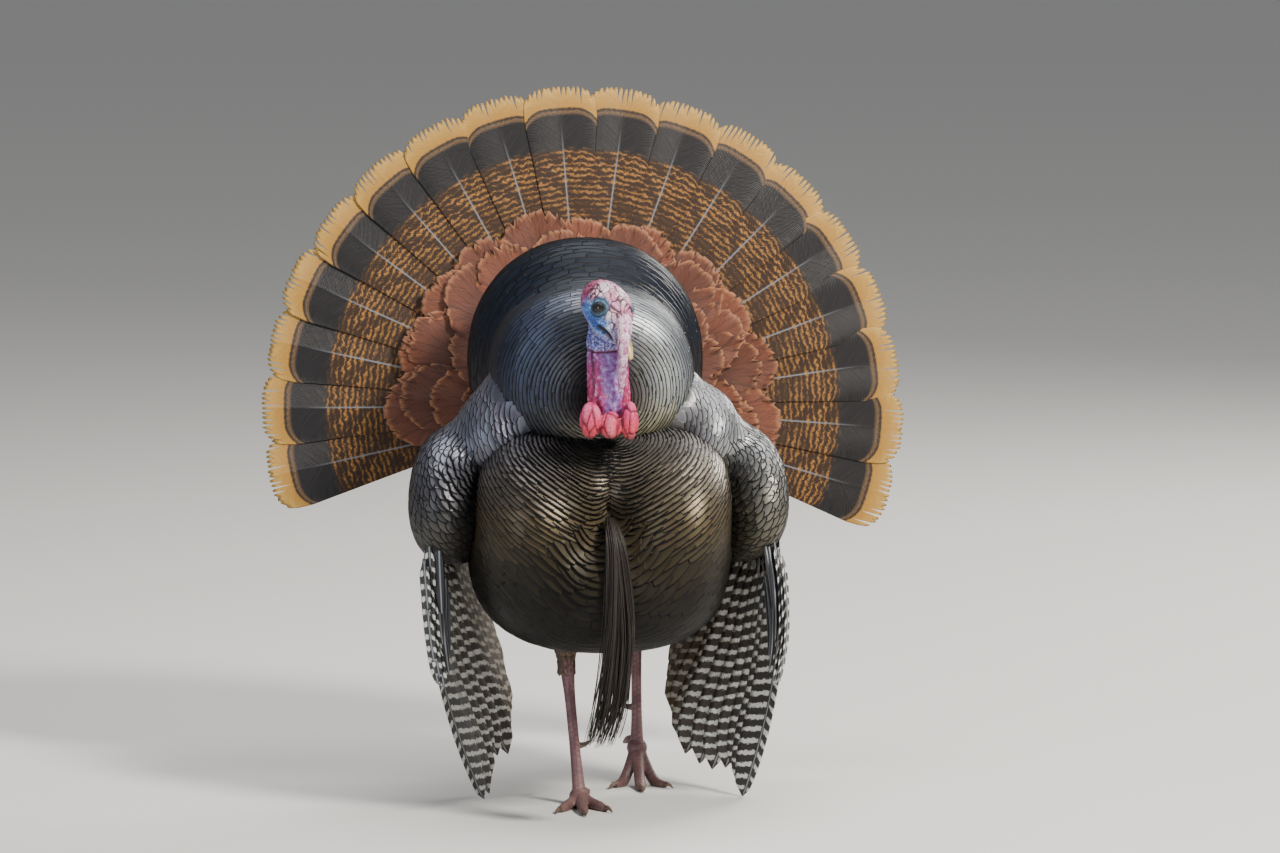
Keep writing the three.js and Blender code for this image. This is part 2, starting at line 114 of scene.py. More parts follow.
lightPlan = {
    "key": {"at": (2.5, -2.9, 3.5), "size": 0.9, "watts": 390, "colour": (1.0, 0.955, 0.87)},
    "fill": {"at": (-3.4, -2.8, 1.6), "size": 2.4, "watts": 62, "colour": (0.84, 0.91, 1.0)},
    "top": {"at": (0.3, 0.2, 3.6), "size": 2.2, "watts": 85, "colour": (1.0, 0.99, 0.97)},
    "rim": {"at": (2.4, 2.8, 2.4), "size": 1.4, "watts": 110, "colour": (1.0, 0.96, 0.9)},
    "world": (0.78, 0.80, 0.82),
}


def makeLights():
    for name, plan in lightPlan.items():
        if name == "world":
            continue
        bpy.ops.object.light_add(type="AREA", location=plan["at"])
        lamp = bpy.context.object
        lamp.name = name + "Light"
        lamp.data.size = plan["size"]
        lamp.data.energy = plan["watts"]
        lamp.data.color = plan["colour"]
        lamp.rotation_euler = (Vector(plan["at"]) - Vector((0, 0, 0.4))).to_track_quat("Z", "Y").to_euler()
    world = bpy.data.worlds.new("studioAir")
    bpy.context.scene.world = world
    world.use_nodes = True
    world.node_tree.nodes["Background"].inputs["Color"].default_value = (*lightPlan["world"], 1)
    world.node_tree.nodes["Background"].inputs["Strength"].default_value = 0.36


def makeFloor():
    bpy.ops.object.select_all(action="DESELECT")
    bpy.ops.mesh.primitive_plane_add(size=40, location=(0, 0, 0))
    floor = bpy.context.object
    floor.name = "studioFloor"
    material = bpy.data.materials.new("paleFloor")
    material.use_nodes = True
    shader = material.node_tree.nodes["Principled BSDF"]
    shader.inputs["Base Color"].default_value = (0.66, 0.65, 0.63, 1)
    shader.inputs["Roughness"].default_value = 0.85
    floor.data.materials.append(material)


makeCamera()
makeLights()
makeFloor()
say("studio ready")


# Node helpers
class Nodes:
    def __init__(self, tree):
        self.tree = tree

    def add(self, kind, **settings):
        node = self.tree.nodes.new(kind)
        for key, value in settings.items():
            setattr(node, key, value)
        return node

    def put(self, socket, value):
        if isinstance(value, bpy.types.NodeSocket):
            self.tree.links.new(value, socket)
        elif value is not None:
            socket.default_value = value

    def math(self, operation, a, b=None, c=None, clamp=False):
        node = self.add("ShaderNodeMath", operation=operation, use_clamp=clamp)
        for socket, value in zip(node.inputs, (a, b, c)):
            self.put(socket, value)
        return node.outputs[0]

    def blend(self, share, a, b, how="MIX"):
        node = self.add("ShaderNodeMix", data_type="RGBA", blend_type=how, clamp_factor=True)
        self.put(node.inputs["Factor"], share)
        for socket, value in ((node.inputs[6], a), (node.inputs[7], b)):
            self.put(socket, (*value, 1) if isinstance(value, tuple) else value)
        return node.outputs[2]

    def range(self, value, low, high, toLow=0.0, toHigh=1.0, kind="SMOOTHSTEP"):
        node = self.add("ShaderNodeMapRange", interpolation_type=kind)
        for socket, number in zip(node.inputs, (value, low, high, toLow, toHigh)):
            self.put(socket, number)
        return node.outputs[0]

    def noise(self, vector, scale, detail=2.0, rough=0.5, stretch=None):
        if stretch:
            mapping = self.add("ShaderNodeMapping")
            self.put(mapping.inputs["Vector"], vector)
            mapping.inputs["Scale"].default_value = stretch
            vector = mapping.outputs[0]
        node = self.add("ShaderNodeTexNoise")
        self.put(node.inputs["Vector"], vector)
        node.inputs["Scale"].default_value = scale
        node.inputs["Detail"].default_value = detail
        node.inputs["Roughness"].default_value = rough
        return node.outputs[0]

    def attribute(self, name):
        return self.add("ShaderNodeAttribute", attribute_name=name)

    def uv(self, name="vane"):
        split = self.add("ShaderNodeSeparateXYZ")
        layer = self.add("ShaderNodeUVMap", uv_map=name)
        self.put(split.inputs[0], layer.outputs[0])
        return split.outputs[0], split.outputs[1], layer.outputs[0]

    def bump(self, height, distance, strength=1.0, normal=None):
        node = self.add("ShaderNodeBump")
        node.inputs["Strength"].default_value = strength
        node.inputs["Distance"].default_value = distance
        self.put(node.inputs["Height"], height)
        if normal is not None:
            self.put(node.inputs["Normal"], normal)
        return node.outputs[0]


def newMaterial(name, **constants):
    material = bpy.data.materials.new(name)
    material.use_nodes = True
    shader = material.node_tree.nodes["Principled BSDF"]
    for key, value in constants.items():
        shader.inputs[key.replace("_", " ")].default_value = value
    return material, Nodes(material.node_tree), shader


def newGroup(name, ins, outs):
    group = bpy.data.node_groups.new(name, "ShaderNodeTree")
    for socket, kind in ins:
        group.interface.new_socket(name=socket, in_out="INPUT", socket_type="NodeSocket" + kind)
    for socket, kind in outs:
        group.interface.new_socket(name=socket, in_out="OUTPUT", socket_type="NodeSocket" + kind)
    nodes = Nodes(group)
    return group, nodes, nodes.add("NodeGroupInput").outputs, nodes.add("NodeGroupOutput").inputs


# Barbs run out and forward from a feather's shaft. On the vane map one unit is 50 mm, with the shaft
# at 0.5 across and the tip at 1 along.
def makeBarbGroup():
    group, n, ins, outs = newGroup(
        "featherBarbs", [("Slant", "Float"), ("Fineness", "Float")],
        [("Height", "Float"), ("Shade", "Float"), ("Across", "Float"), ("FromTip", "Float")],
    )
    across, along, layer = n.uv()
    side = n.math("ABSOLUTE", n.math("SUBTRACT", across, 0.5))
    run = n.math("SUBTRACT", along, n.math("MULTIPLY", side, ins["Slant"]))
    wobble = n.noise(layer, 9.0, 2.0)
    run = n.math("ADD", run, n.math("MULTIPLY", wobble, 0.03))
    wave = n.math("SINE", n.math("MULTIPLY", run, ins["Fineness"]))
    line = n.add("ShaderNodeCombineXYZ")
    n.put(line.inputs[0], n.math("MULTIPLY", run, 58.0))
    n.put(line.inputs[1], n.math("MULTIPLY", side, 2.0))
    streak = n.noise(line.outputs[0], 1.0, 3.0, 0.6)
    n.put(outs["Height"], n.math("ADD", n.math("MULTIPLY", wave, 0.35), streak))
    n.put(outs["Shade"], streak)
    n.put(outs["Across"], n.math("MULTIPLY", n.math("SUBTRACT", across, 0.5), 50.0))
    n.put(outs["FromTip"], n.math("MULTIPLY", n.math("SUBTRACT", 1.0, along), 50.0))
    return group


barbGroup = makeBarbGroup()


def barbs(n, slant, fineness):
    node = n.add("ShaderNodeGroup", node_tree=barbGroup)
    node.inputs["Slant"].default_value = slant
    node.inputs["Fineness"].default_value = fineness
    return node.outputs


# Glossy body feathers: a tinted sheen, then a velvet black edge at the tip.
def makePlumeMaterial(name, edge, rough, metallic, specular):
    material, n, shader = newMaterial(name, Specular_IOR_Level=specular)
    barb = barbs(n, 0.9, 430.0)
    tint = n.attribute("tint").outputs["Color"]
    fine = n.range(barb["Shade"], 0.25, 0.75, 0.9, 1.08)
    scale = n.add("ShaderNodeVectorMath", operation="SCALE")
    n.put(scale.inputs[0], tint)
    n.put(scale.inputs["Scale"], fine)
    ragged = n.math("ADD", barb["FromTip"], n.math("MULTIPLY", n.math("SUBTRACT", barb["Shade"], 0.5), 1.2))
    atEdge = n.range(ragged, edge * 0.55, edge * 1.25, 1.0, 0.0)
    # Away from the tip the colour darkens: partly the feather's own band, partly painted shade where the next row lies
    # over it.
    inside = n.range(ragged, edge * 1.2, edge * 5.5, 0.0, 1.0)
    shaded = n.blend(inside, scale.outputs[0], n.blend(0.35, scale.outputs[0], (0.012, 0.012, 0.014)))
    colour = n.blend(atEdge, shaded, (0.006, 0.006, 0.007))
    n.put(shader.inputs["Base Color"], colour)
    split = n.add("ShaderNodeSeparateColor")
    n.put(split.inputs[0], tint)
    bright = n.range(split.outputs[1], 0.008, 0.11, 0.12, 1.0)
    shine = n.math("MULTIPLY", n.math("SUBTRACT", 1.0, atEdge), bright)
    n.put(shader.inputs["Metallic"], n.math("MULTIPLY", shine, metallic))
    n.put(shader.inputs["Roughness"], n.range(barb["Shade"], 0.2, 0.8, rough - 0.05, rough + 0.1))
    n.put(shader.inputs["Normal"], n.bump(barb["Height"], 0.00008, 0.4))
    return material


# Matt feathers with a paler rim, such as the tail's coverts
def makeSoftMaterial(name, rim, rimWidth, rough):
    material, n, shader = newMaterial(name, Roughness=rough, Sheen_Weight=0.12, Sheen_Roughness=0.5)
    barb = barbs(n, 1.7, 260.0)
    tint = n.attribute("tint").outputs["Color"]
    ragged = n.math("ADD", barb["FromTip"], n.math("MULTIPLY", n.math("SUBTRACT", barb["Shade"], 0.5), 12.0))
    fine = n.range(barb["Shade"], 0.3, 0.72, 0.42, 1.35)
    scale = n.add("ShaderNodeVectorMath", operation="SCALE")
    n.put(scale.inputs[0], tint)
    n.put(scale.inputs["Scale"], fine)
    dusky = n.range(ragged, rimWidth * 3.0, rimWidth * 11.0, 0.0, 0.6)
    fanned = n.math("DIVIDE", barb["Across"], n.math("SUBTRACT", 128.0, barb["FromTip"]))
    streak = n.add("ShaderNodeCombineXYZ")
    n.put(streak.inputs[0], n.math("MULTIPLY", fanned, 46.0))
    n.put(streak.inputs[1], n.math("MULTIPLY", barb["FromTip"], 0.02))
    clumped = n.noise(streak.outputs[0], 1.0, 2.0, 0.6)
    body = n.blend(dusky, scale.outputs[0], (0.045, 0.012, 0.009))
    body = n.blend(n.range(clumped, 0.30, 0.50, 0.8, 0.0), body, (0.022, 0.007, 0.006))
    atRim = n.range(ragged, rimWidth * 0.4, rimWidth * 1.6, 0.75, 0.0)
    atRim = n.math("MULTIPLY", atRim, n.range(clumped, 0.34, 0.56, 0.25, 1.0))
    n.put(shader.inputs["Base Color"], n.blend(atRim, body, rim))
    height = n.math("ADD", barb["Height"], n.math("MULTIPLY", clumped, 2.0))
    n.put(shader.inputs["Normal"], n.bump(height, 0.0006, 0.7))
    return material


# Fan feathers: bars, a black band, a freckled line and a fringed buff tip, with a pale shaft
def makeFanMaterial():
    material, n, shader = newMaterial("fanPlume", Roughness=0.5, Specular_IOR_Level=0.3)
    barb = barbs(n, 0.8, 170.0)
    across, fromTip, shade = barb["Across"], barb["FromTip"], barb["Shade"]
    layer = n.uv()[2]
    side = n.math("ABSOLUTE", across)
    blotch = n.noise(layer, 6.0, 3.0, 0.6)
    speck = n.noise(layer, 42.0, 2.0, 0.7)
    wobble = n.math("MULTIPLY", n.math("SUBTRACT", blotch, 0.5), 11.0)
    place = n.math("ADD", fromTip, n.math("ADD", wobble, n.math("MULTIPLY", n.math("SUBTRACT", speck, 0.5), 9.0)))
    bars = n.math("SINE", n.math("MULTIPLY", n.math("SUBTRACT", place, n.math("MULTIPLY", side, 0.1)), 2 * math.pi / 6.7))
    patchy = n.range(n.noise(layer, 2.6, 2.0, 0.5), 0.36, 0.58, -0.55, 0.1)
    barred = n.range(n.math("ADD", n.math("ADD", bars, patchy), n.math("MULTIPLY", n.math("SUBTRACT", shade, 0.5), 3.2)), 0.3, 1.1)
    deep = n.range(fromTip, 90.0, 250.0, 0.0, 1.0)
    tan = n.blend(deep, (0.38, 0.175, 0.042), (0.19, 0.080, 0.028))
    dark = n.blend(deep, (0.034, 0.018, 0.011), (0.052, 0.026, 0.016))
    inner = n.blend(barred, dark, tan)
    edge = n.math("ADD", fromTip, n.math("MULTIPLY", n.math("SUBTRACT", shade, 0.5), 6.0))
    band = n.range(edge, 70.0, 79.0, 1.0, 0.0)
    # The black band gets a painted sheen, lighter along its barb streaks.
    gloss = n.range(shade, 0.3, 0.75, 0.0, 1.0)
    colour = n.blend(band, inner, n.blend(gloss, (0.006, 0.006, 0.008), (0.026, 0.022, 0.022)))
    freckle = n.math("MULTIPLY", n.range(edge, 32.0, 36.0, 1.0, 0.0), n.range(speck, 0.42, 0.62, 0.25, 1.0))
    colour = n.blend(freckle, colour, (0.20, 0.115, 0.055))
    line = n.math("MULTIPLY", n.range(edge, 25.5, 27.5), n.range(edge, 28.5, 31.0, 1.0, 0.0))
    buff = n.blend(n.range(fromTip, 1.0, 28.0, 0.0, 1.0), (0.53, 0.325, 0.080), (0.41, 0.21, 0.034))
    fringe = n.blend(n.range(shade, 0.3, 0.7, 0.55, 0.0), buff, (0.30, 0.14, 0.035))
    colour = n.blend(n.range(edge, 26.0, 29.0, 1.0, 0.0), colour, fringe)
    colour = n.blend(line, colour, (0.035, 0.024, 0.018))
    shaft = n.math("MULTIPLY", n.range(side, 0.6, 1.2, 1.0, 0.0), n.range(fromTip, 40.0, 110.0, 0.0, 0.75))
    colour = n.blend(shaft, colour, (0.21, 0.23, 0.26))
    n.put(shader.inputs["Base Color"], colour)
    n.put(shader.inputs["Roughness"], n.math("SUBTRACT", 0.68, n.math("MULTIPLY", band, 0.2)))
    n.put(shader.inputs["Normal"], n.bump(barb["Height"], 0.0004, 0.7))
    return material


# Long wing feathers with slanting bars. The mark is how strong they are on the leading and the trailing side.
def makeFlightMaterial():
    material, n, shader = newMaterial("flightPlume", Roughness=0.46)
    barb = barbs(n, 0.7, 190.0)
    across, fromTip, shade = barb["Across"], barb["FromTip"], barb["Shade"]
    layer = n.uv()[2]
    mark = n.add("ShaderNodeSeparateColor")
    n.put(mark.inputs[0], n.attribute("mark").outputs["Color"])
    tint = n.attribute("tint").outputs["Color"]
    side = n.math("ABSOLUTE", across)
    wobble = n.math("MULTIPLY", n.math("SUBTRACT", n.noise(layer, 11.0, 3.0, 0.65), 0.5), 9.0)
    place = n.math("ADD", n.math("ADD", fromTip, wobble), n.math("MULTIPLY", side, 0.5))
    bars = n.math("SINE", n.math("MULTIPLY", place, 2 * math.pi / 15.0))
    torn = n.math("ADD", bars, n.math("MULTIPLY", n.math("SUBTRACT", shade, 0.5), 1.8))
    strength = n.blend(n.range(across, -0.6, 0.6), mark.outputs[0], mark.outputs[1])
    atShaft = n.range(side, 1.2, 3.2)
    barred = n.math("MULTIPLY", n.math("MULTIPLY", n.range(torn, 0.15, 0.6), strength), atShaft)
    pale = n.blend(mark.outputs[2], (0.74, 0.74, 0.70), (0.34, 0.27, 0.17))
    scale = n.add("ShaderNodeVectorMath", operation="SCALE")
    n.put(scale.inputs[0], tint)
    n.put(scale.inputs["Scale"], n.range(shade, 0.3, 0.7, 0.7, 1.3))
    colour = n.blend(barred, scale.outputs[0], pale)
    shaft = n.range(side, 0.5, 1.2, 0.8, 0.0)
    colour = n.blend(shaft, colour, n.blend(mark.outputs[2], (0.36, 0.38, 0.42), (0.20, 0.16, 0.12)))
    n.put(shader.inputs["Base Color"], colour)
    n.put(shader.inputs["Normal"], n.bump(barb["Height"], 0.0004, 0.6))
    return material


def makeBeardMaterial():
    material, n, shader = newMaterial("beardBristle", Roughness=0.45, Specular_IOR_Level=0.25)
    tint = n.attribute("tint").outputs["Color"]
    across, along, layer = n.uv()
    fleck = n.noise(layer, 14.0, 2.0, 0.6)
    n.put(shader.inputs["Base Color"], n.blend(n.range(fleck, 0.5, 0.8, 0.0, 0.35), tint, (0.075, 0.062, 0.05)))
    return material


materials = {
    "bronze": makePlumeMaterial("bronzePlume", 1.7, 0.38, 0.62, 0.16),
    "silver": makePlumeMaterial("silverPlume", 1.1, 0.40, 0.68, 0.2),
    "black": makePlumeMaterial("blackPlume", 2.0, 0.34, 0.45, 0.16),
    "brown": makeSoftMaterial("brownPlume", (0.20, 0.10, 0.05), 4.0, 0.7),
    "covert": makeSoftMaterial("covertPlume", (0.40, 0.155, 0.055), 5.0, 0.6),
    "fan": makeFanMaterial(),
    "flight": makeFlightMaterial(),
    "beard": makeBeardMaterial(),
}


# Closed vanes from grids of points. Shapes are counted as vane, row, column.
def vaneFaces(rows, columns):
    top = np.arange((rows + 1) * (columns + 1)).reshape(rows + 1, columns + 1)
    under = top.copy()
    inner = (rows - 1) * (columns - 1)
    under[1:-1, 1:-1] = top.size + np.arange(inner).reshape(rows - 1, columns - 1)
    a, b, c, d = top[:-1, :-1], top[:-1, 1:], top[1:, 1:], top[1:, :-1]
    upper = np.stack((a, d, c, b), -1).reshape(-1, 4)
    a, b, c, d = under[:-1, :-1], under[:-1, 1:], under[1:, 1:], under[1:, :-1]
    lower = np.stack((b, c, d, a), -1).reshape(-1, 4)
    return np.concatenate((upper, lower))


def meshFromArrays(name, points, quads, layers, attributes):
    mesh = bpy.data.meshes.new(name)
    mesh.vertices.add(len(points))
    mesh.vertices.foreach_set("co", np.asarray(points, np.float32).ravel())
    mesh.loops.add(quads.size)
    mesh.loops.foreach_set("vertex_index", quads.astype(np.int32).ravel())
    mesh.polygons.add(len(quads))
    mesh.polygons.foreach_set("loop_start", np.arange(0, quads.size, 4, dtype=np.int32))
    mesh.polygons.foreach_set("loop_total", np.full(len(quads), 4, dtype=np.int32))
    for key, values in layers.items():
        layer = mesh.uv_layers.new(name=key)
        layer.data.foreach_set("uv", np.asarray(values, np.float32)[quads.ravel()].ravel())
    for key, values in attributes.items():
        colour = mesh.color_attributes.new(name=key, type="FLOAT_COLOR", domain="POINT")
        full = np.concatenate((values, np.ones((len(values), 1))), 1)
        colour.data.foreach_set("color", full.astype(np.float32).ravel())
    mesh.update(calc_edges=True)
    mesh.validate()
    mesh.shade_smooth()
    piece = bpy.data.objects.new(name, mesh)
    bpy.context.collection.objects.link(piece)
    return piece


def makeVanes(name, grid, thick, vane, patch, tints, material, marks=None):
    count, rows, columns = grid.shape[0], grid.shape[1] - 1, grid.shape[2] - 1
    faces = vaneFaces(rows, columns)
    normals = np.cross(np.gradient(grid, axis=1), np.gradient(grid, axis=2))
    normals /= np.maximum(np.linalg.norm(normals, axis=-1, keepdims=True), 1e-9)
    inner = grid[:, 1:-1, 1:-1] - normals[:, 1:-1, 1:-1] * thick
    points = np.concatenate((grid.reshape(count, -1, 3), inner.reshape(count, -1, 3)), 1)
    perVane = points.shape[1]
    both = lambda values: np.concatenate(
        (values.reshape(count, -1, values.shape[-1]), values[:, 1:-1, 1:-1].reshape(count, -1, values.shape[-1])), 1
    ).reshape(-1, values.shape[-1])
    quads = (faces[None] + (np.arange(count) * perVane)[:, None, None]).reshape(-1, 4)
    colours = {"tint": np.repeat(tints, perVane, axis=0)}
    if marks is not None:
        colours["mark"] = np.repeat(marks, perVane, axis=0)
    layers = {"OFBake": both(patch), "vane": both(vane)}
    piece = meshFromArrays(name, toFrame(points.reshape(-1, 3)), quads, layers, colours)
    piece.data.materials.append(material)
    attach(piece, "root")
    return piece


# Body masses, as wide as the feather tips reach
def mass(at, radii, square=2.0, turn=(0, 0, 0)):
    return {"at": np.array(at, float), "radii": np.array(radii, float), "square": square, "basis": turnMatrix(*turn)}


bodyPlan = {
    "ruff": mass((-12, -80, 498), (115, 122, 100), 2.15),
    "back": mass((-11, 50, 503), (134, 134, 138), 2.1),
    "belly": mass((-2, -24, 280), (146, 220, 96), 2.45, (3, 0, 0)),
    "underTail": mass((0, 186, 346), (112, 100, 98), 2.0, (-18, 0, 0)),
    "crop": mass((-2, -108, 398), (78, 96, 50), 2.2),
}
for sideName, side in (("Right", -1), ("Left", 1)):
    bodyPlan["breast" + sideName] = mass((side * 68 - 2, -72, 349), (80, 168, 99), 2.35)
    bodyPlan["shoulder" + sideName] = mass((side * 112 - 4, -62, 432), (48, 88, 52), 2.0, (0, side * 10, 0))
    bodyPlan["wing" + sideName] = mass((side * 160 - 3, 4, 352), (52, 150, 80), 2.25, (-5, side * -4, side * 7))


# How far a point is outside a mass, in mm
def outside(shape, points):
    local = (points - shape["at"]) @ shape["basis"]
    level = (np.abs(local / shape["radii"]) ** shape["square"]).sum(-1) ** (1 / shape["square"])
    return np.linalg.norm(local, axis=-1) * (1 - 1 / np.maximum(level, 1e-3))


def meltedOutside(names, points, melt):
    total = None
    for name in names:
        here = outside(bodyPlan[name], points)
        if total is None:
            total = here
            continue
        share = np.clip(0.5 + 0.5 * (total - here) / melt, 0, 1)
        total = mix(total, here, share) - melt * share * (1 - share)
    return total


# A mass's surface as rings of equal distance from a pole, on which the rows of feathers are laid
def surfaceRings(name, towards, melted=(), melt=24, spokes=192, reach=178):
    shape = bodyPlan[name]
    pole = ((np.array(towards, float) - shape["at"]) @ shape["basis"]) / shape["radii"]
    pole /= np.linalg.norm(pole)
    across = np.cross((0.0, 0.0, 1.0) if abs(pole[2]) < 0.8 else (0.0, 1.0, 0.0), pole)
    across /= np.linalg.norm(across)
    third = np.cross(pole, across)
    tilt = np.radians(np.linspace(0.5, reach, 150))[:, None, None]
    turn = (np.arange(spokes + 1) * 2 * np.pi / spokes)[None, :, None]
    way = np.cos(tilt) * pole + np.sin(tilt) * (np.cos(turn) * across + np.sin(turn) * third)
    way = way / (np.abs(way) ** shape["square"]).sum(-1, keepdims=True) ** (1 / shape["square"])
    ray = (way * shape["radii"]) @ shape["basis"].T
    points = shape["at"] + ray
    if melted:
        near, far = np.full(ray.shape[:2], 0.93), np.full(ray.shape[:2], 1.4)
        for _ in range(13):
            middle = (near + far) / 2
            value = meltedOutside((name, *melted), shape["at"] + ray * middle[..., None], melt)
            near, far = np.where(value < 0, middle, near), np.where(value < 0, far, middle)
        points = shape["at"] + ray * ((near + far) / 2)[..., None]
    steps = np.linalg.norm(np.diff(points, axis=0), axis=-1)
    run = np.concatenate((np.zeros((1, spokes + 1)), np.cumsum(steps, 0)))
    ringStep = 2.0
    rings = int(run[-1].max() / ringStep)
    even = np.empty((rings, spokes + 1, 3))
    for spoke in range(spokes + 1):
        for axis in range(3):
            even[:, spoke, axis] = np.interp(np.arange(rings) * ringStep, run[:, spoke], points[:, spoke, axis])
    along = np.gradient(even, axis=0)
    around = np.gradient(even, axis=1)
    around[:, 0] = around[:, -1] = (even[:, 1] - even[:, -2]) / 2
    normals = np.cross(along, around)
    normals /= np.maximum(np.linalg.norm(normals, axis=-1, keepdims=True), 1e-6)
    flipped = ((even - shape["at"]) * normals).sum(-1) < 0
    normals[flipped] *= -1
    gauge = np.linalg.norm(around, axis=-1) * spokes / (2 * np.pi)
    return {"points": even, "normals": normals, "gauge": gauge, "ringStep": ringStep, "spokes": spokes, "name": name}


def readRings(rings, run, turn, key="points"):
    table = rings[key]
    high = np.clip(run / rings["ringStep"], 0, table.shape[0] - 1.001)
    wide = np.mod(turn, 2 * np.pi) * rings["spokes"] / (2 * np.pi)
    i, j = high.astype(int), np.minimum(wide.astype(int), rings["spokes"] - 1)
    a, b = high - i, wide - j
    if table.ndim == 3:
        a, b = a[..., None], b[..., None]
    return mix(mix(table[i, j], table[i + 1, j], a), mix(table[i, j + 1], table[i + 1, j + 1], a), b)


plumeShape = {"rows": (0, 0.42, 0.74, 0.965, 1.0), "columns": (-1, -0.95, -0.62, -0.22, 0.22, 0.62, 0.95, 1)}


def spread(values, share):
    return np.interp(share, np.linspace(0, 1, len(values)), values)


# Lays rows of overlapping feathers on the rings. Each one lies on the mass's own surface, rising to it at its tip.
def layFeathers(rings, plan, keep, tint, region):
    runs, turns, lengths, widths = [], [], [], []
    run, row = plan["start"], 0
    while run < plan["end"]:
        share = (run - plan["start"]) / (plan["end"] - plan["start"])
        step, width, length = (spread(plan[key], share) for key in ("step", "width", "length"))
        turn = np.linspace(0, 2 * np.pi, 721)
        line = readRings(rings, np.full(721, run + length), turn)
        distance = np.concatenate(((0,), np.cumsum(np.linalg.norm(np.diff(line, axis=0), axis=1))))
        count = max(4, int(distance[-1] / (width * plan.get("overlap", 0.62))))
        places = (np.arange(count) + 0.5 * (row % 2) + chance.uniform(-0.13, 0.13, count)) / count
        turns.append(np.interp(np.mod(places, 1) * distance[-1], distance, turn))
        runs.append(np.full(count, run) + chance.normal(0, step * plan.get("loose", 0.09), count))
        lengths.append(length * chance.uniform(0.95, 1.05, count))
        widths.append(width * chance.uniform(0.9, 1.12, count))
        run += step
        row += 1
    run, turn, length, width = (np.concatenate(part) for part in (runs, turns, lengths, widths))
    tips = readRings(rings, run + length, turn)
    kept = keep(tips, turn)
    run, turn, length, width, tips = (part[kept] for part in (run, turn, length, width, tips))
    count = len(run)
    v = np.array(plumeShape["rows"])[None, :, None]
    u = np.array(plumeShape["columns"])[None, None, :]
    one = lambda values: values[:, None, None]
    rounded = plan.get("round", 0.12)
    along = one(length) * v * (1 - rounded * np.abs(u) ** 2.4 * v ** 4)
    half = one(width) / 2 * (0.3 + 0.7 * smooth(0, 0.5, v)) * (1 - plan.get("narrow", 0.06) * smooth(0.8, 1, v))
    yaw = one(chance.normal(0, plan.get("yaw", 0.045), count))
    sideways = u * half + yaw * along
    gauge = np.maximum(one(readRings(rings, run + length * 0.7, turn, "gauge")), 3.0)
    s, f = one(run) + along, one(turn) + sideways / gauge
    base = readRings(rings, s, f)
    normals = readRings(rings, s, f, "normals")
    roll = one(chance.normal(0, plan.get("roll", 0.18), count)) * u * v
    rise = one(chance.normal(0, plan.get("uneven", 0.16), count)) * v ** 2
    height = -plan["depth"] * (1 - v) + plan.get("lift", 0.6) * v ** 3 - plan.get("camber", 1.1) * u * u * v + roll + rise + 0.3 * u * v
    grid = base + normals * (height - 0.4)[..., None]
    vane = np.stack((0.5 + sideways / 50, 1 - (one(length) * (1 - rounded * np.abs(u) ** 2.4) - along) / 50), -1)
    left, bottom, wide, high = region
    centre = np.stack((left + wide * (turn % (2 * np.pi)) / (2 * np.pi), bottom + high * run / plan["end"]), -1)
    size = 0.0034
    patch = centre[:, None, None, :] + size * np.stack(np.broadcast_arrays(u / 2, v - 0.5 + 0 * one(run)), -1)
    patch = np.broadcast_to(patch, vane.shape)
    return {"grid": grid, "vane": vane, "patch": patch, "tints": tint(tips)}


def joinLaid(parts):
    return {key: np.concatenate([part[key] for part in parts]) for key in ("grid", "vane", "patch", "tints")}


def makeCoat(name, parts, thick, material):
    laid = joinLaid(parts)
    piece = makeVanes(name, laid["grid"], thick, laid["vane"], laid["patch"], laid["tints"], materials[material])
    say(f"{name}, {len(laid['grid'])} feathers")
    return piece


# A feather is left out where its tip is buried in another mass, or belongs to one
def clearOf(others, margin, extra=None):
    def keep(tips, turn):
        kept = np.ones(len(tips), bool)
        for other in others:
            kept &= outside(bodyPlan[other], tips) > -margin
        if extra is not None:
            kept &= extra(tips)
        return kept
    return keep


# What a spot on the bird looks like, from the place of the feather's tip
def noiseAt(points, scale, seed=0.0):
    return np.array([noise.noise(Vector((p[0] / scale + seed, p[1] / scale, p[2] / scale))) for p in points])


def ramp(value, stops):
    places = [stop[0] for stop in stops]
    colours = np.array([stop[1] for stop in stops])
    return np.stack([np.interp(value, places, colours[:, k]) for k in range(3)], -1)


ruffPlan = {
    "start": 3, "end": 250, "step": (3.4, 5.2, 6.8, 8.2, 9.4), "width": (12, 30, 46, 54, 58), "length": (12, 20, 28, 36, 42),
    "depth": 9, "lift": 0.4, "overlap": 0.7, "round": 0.03, "camber": 0.25, "yaw": 0.01, "loose": 0.06, "roll": 0.03, "uneven": 0.03, "narrow": 0.0,
}
frontMark = (-8, -205, 481)  # the ruff's rows are arcs about this place at the neck
cleftMark = (0, -198, 458)  # the breast's and belly's rows are arcs about the top of the cleft


def shaded(tips, colours, size, seed=0.0):
    one = chance.normal(1, 0.05, (len(tips), 1)) * chance.normal(1, 0.02, (len(tips), 3))
    return np.clip(colours * one * (1 + 0.28 * noiseAt(tips, size, seed)[:, None]), 0, 1)


def ruffTint(tips):
    x, z = tips[:, 0] + 8, tips[:, 2] - 500
    far = np.hypot(x, z / 1.06)
    grey = ramp(far, [
        (0, (0.07, 0.068, 0.066)), (45, (0.17, 0.17, 0.175)), (78, (0.28, 0.29, 0.31)), (98, (0.22, 0.235, 0.27)),
        (114, (0.06, 0.07, 0.095)), (128, (0.012, 0.015, 0.024)),
    ])
    # The bird's right side gets painted shade with a bluer sheen, and its left side a painted highlight.
    grey = mix(grey, grey * np.array((0.19, 0.225, 0.34)), smooth(35, -75, x)[:, None])
    grey = mix(grey, grey * np.array((1.25, 1.28, 1.22)), smooth(10, 80, x)[:, None])
    grey = mix(grey, grey * np.array((0.95, 0.82, 0.55)), smooth(0, -60, z)[:, None])
    grey = mix(grey, np.array((0.02, 0.024, 0.034)), smooth(-125, -45, tips[:, 1])[:, None])
    return shaded(tips, grey, 26)


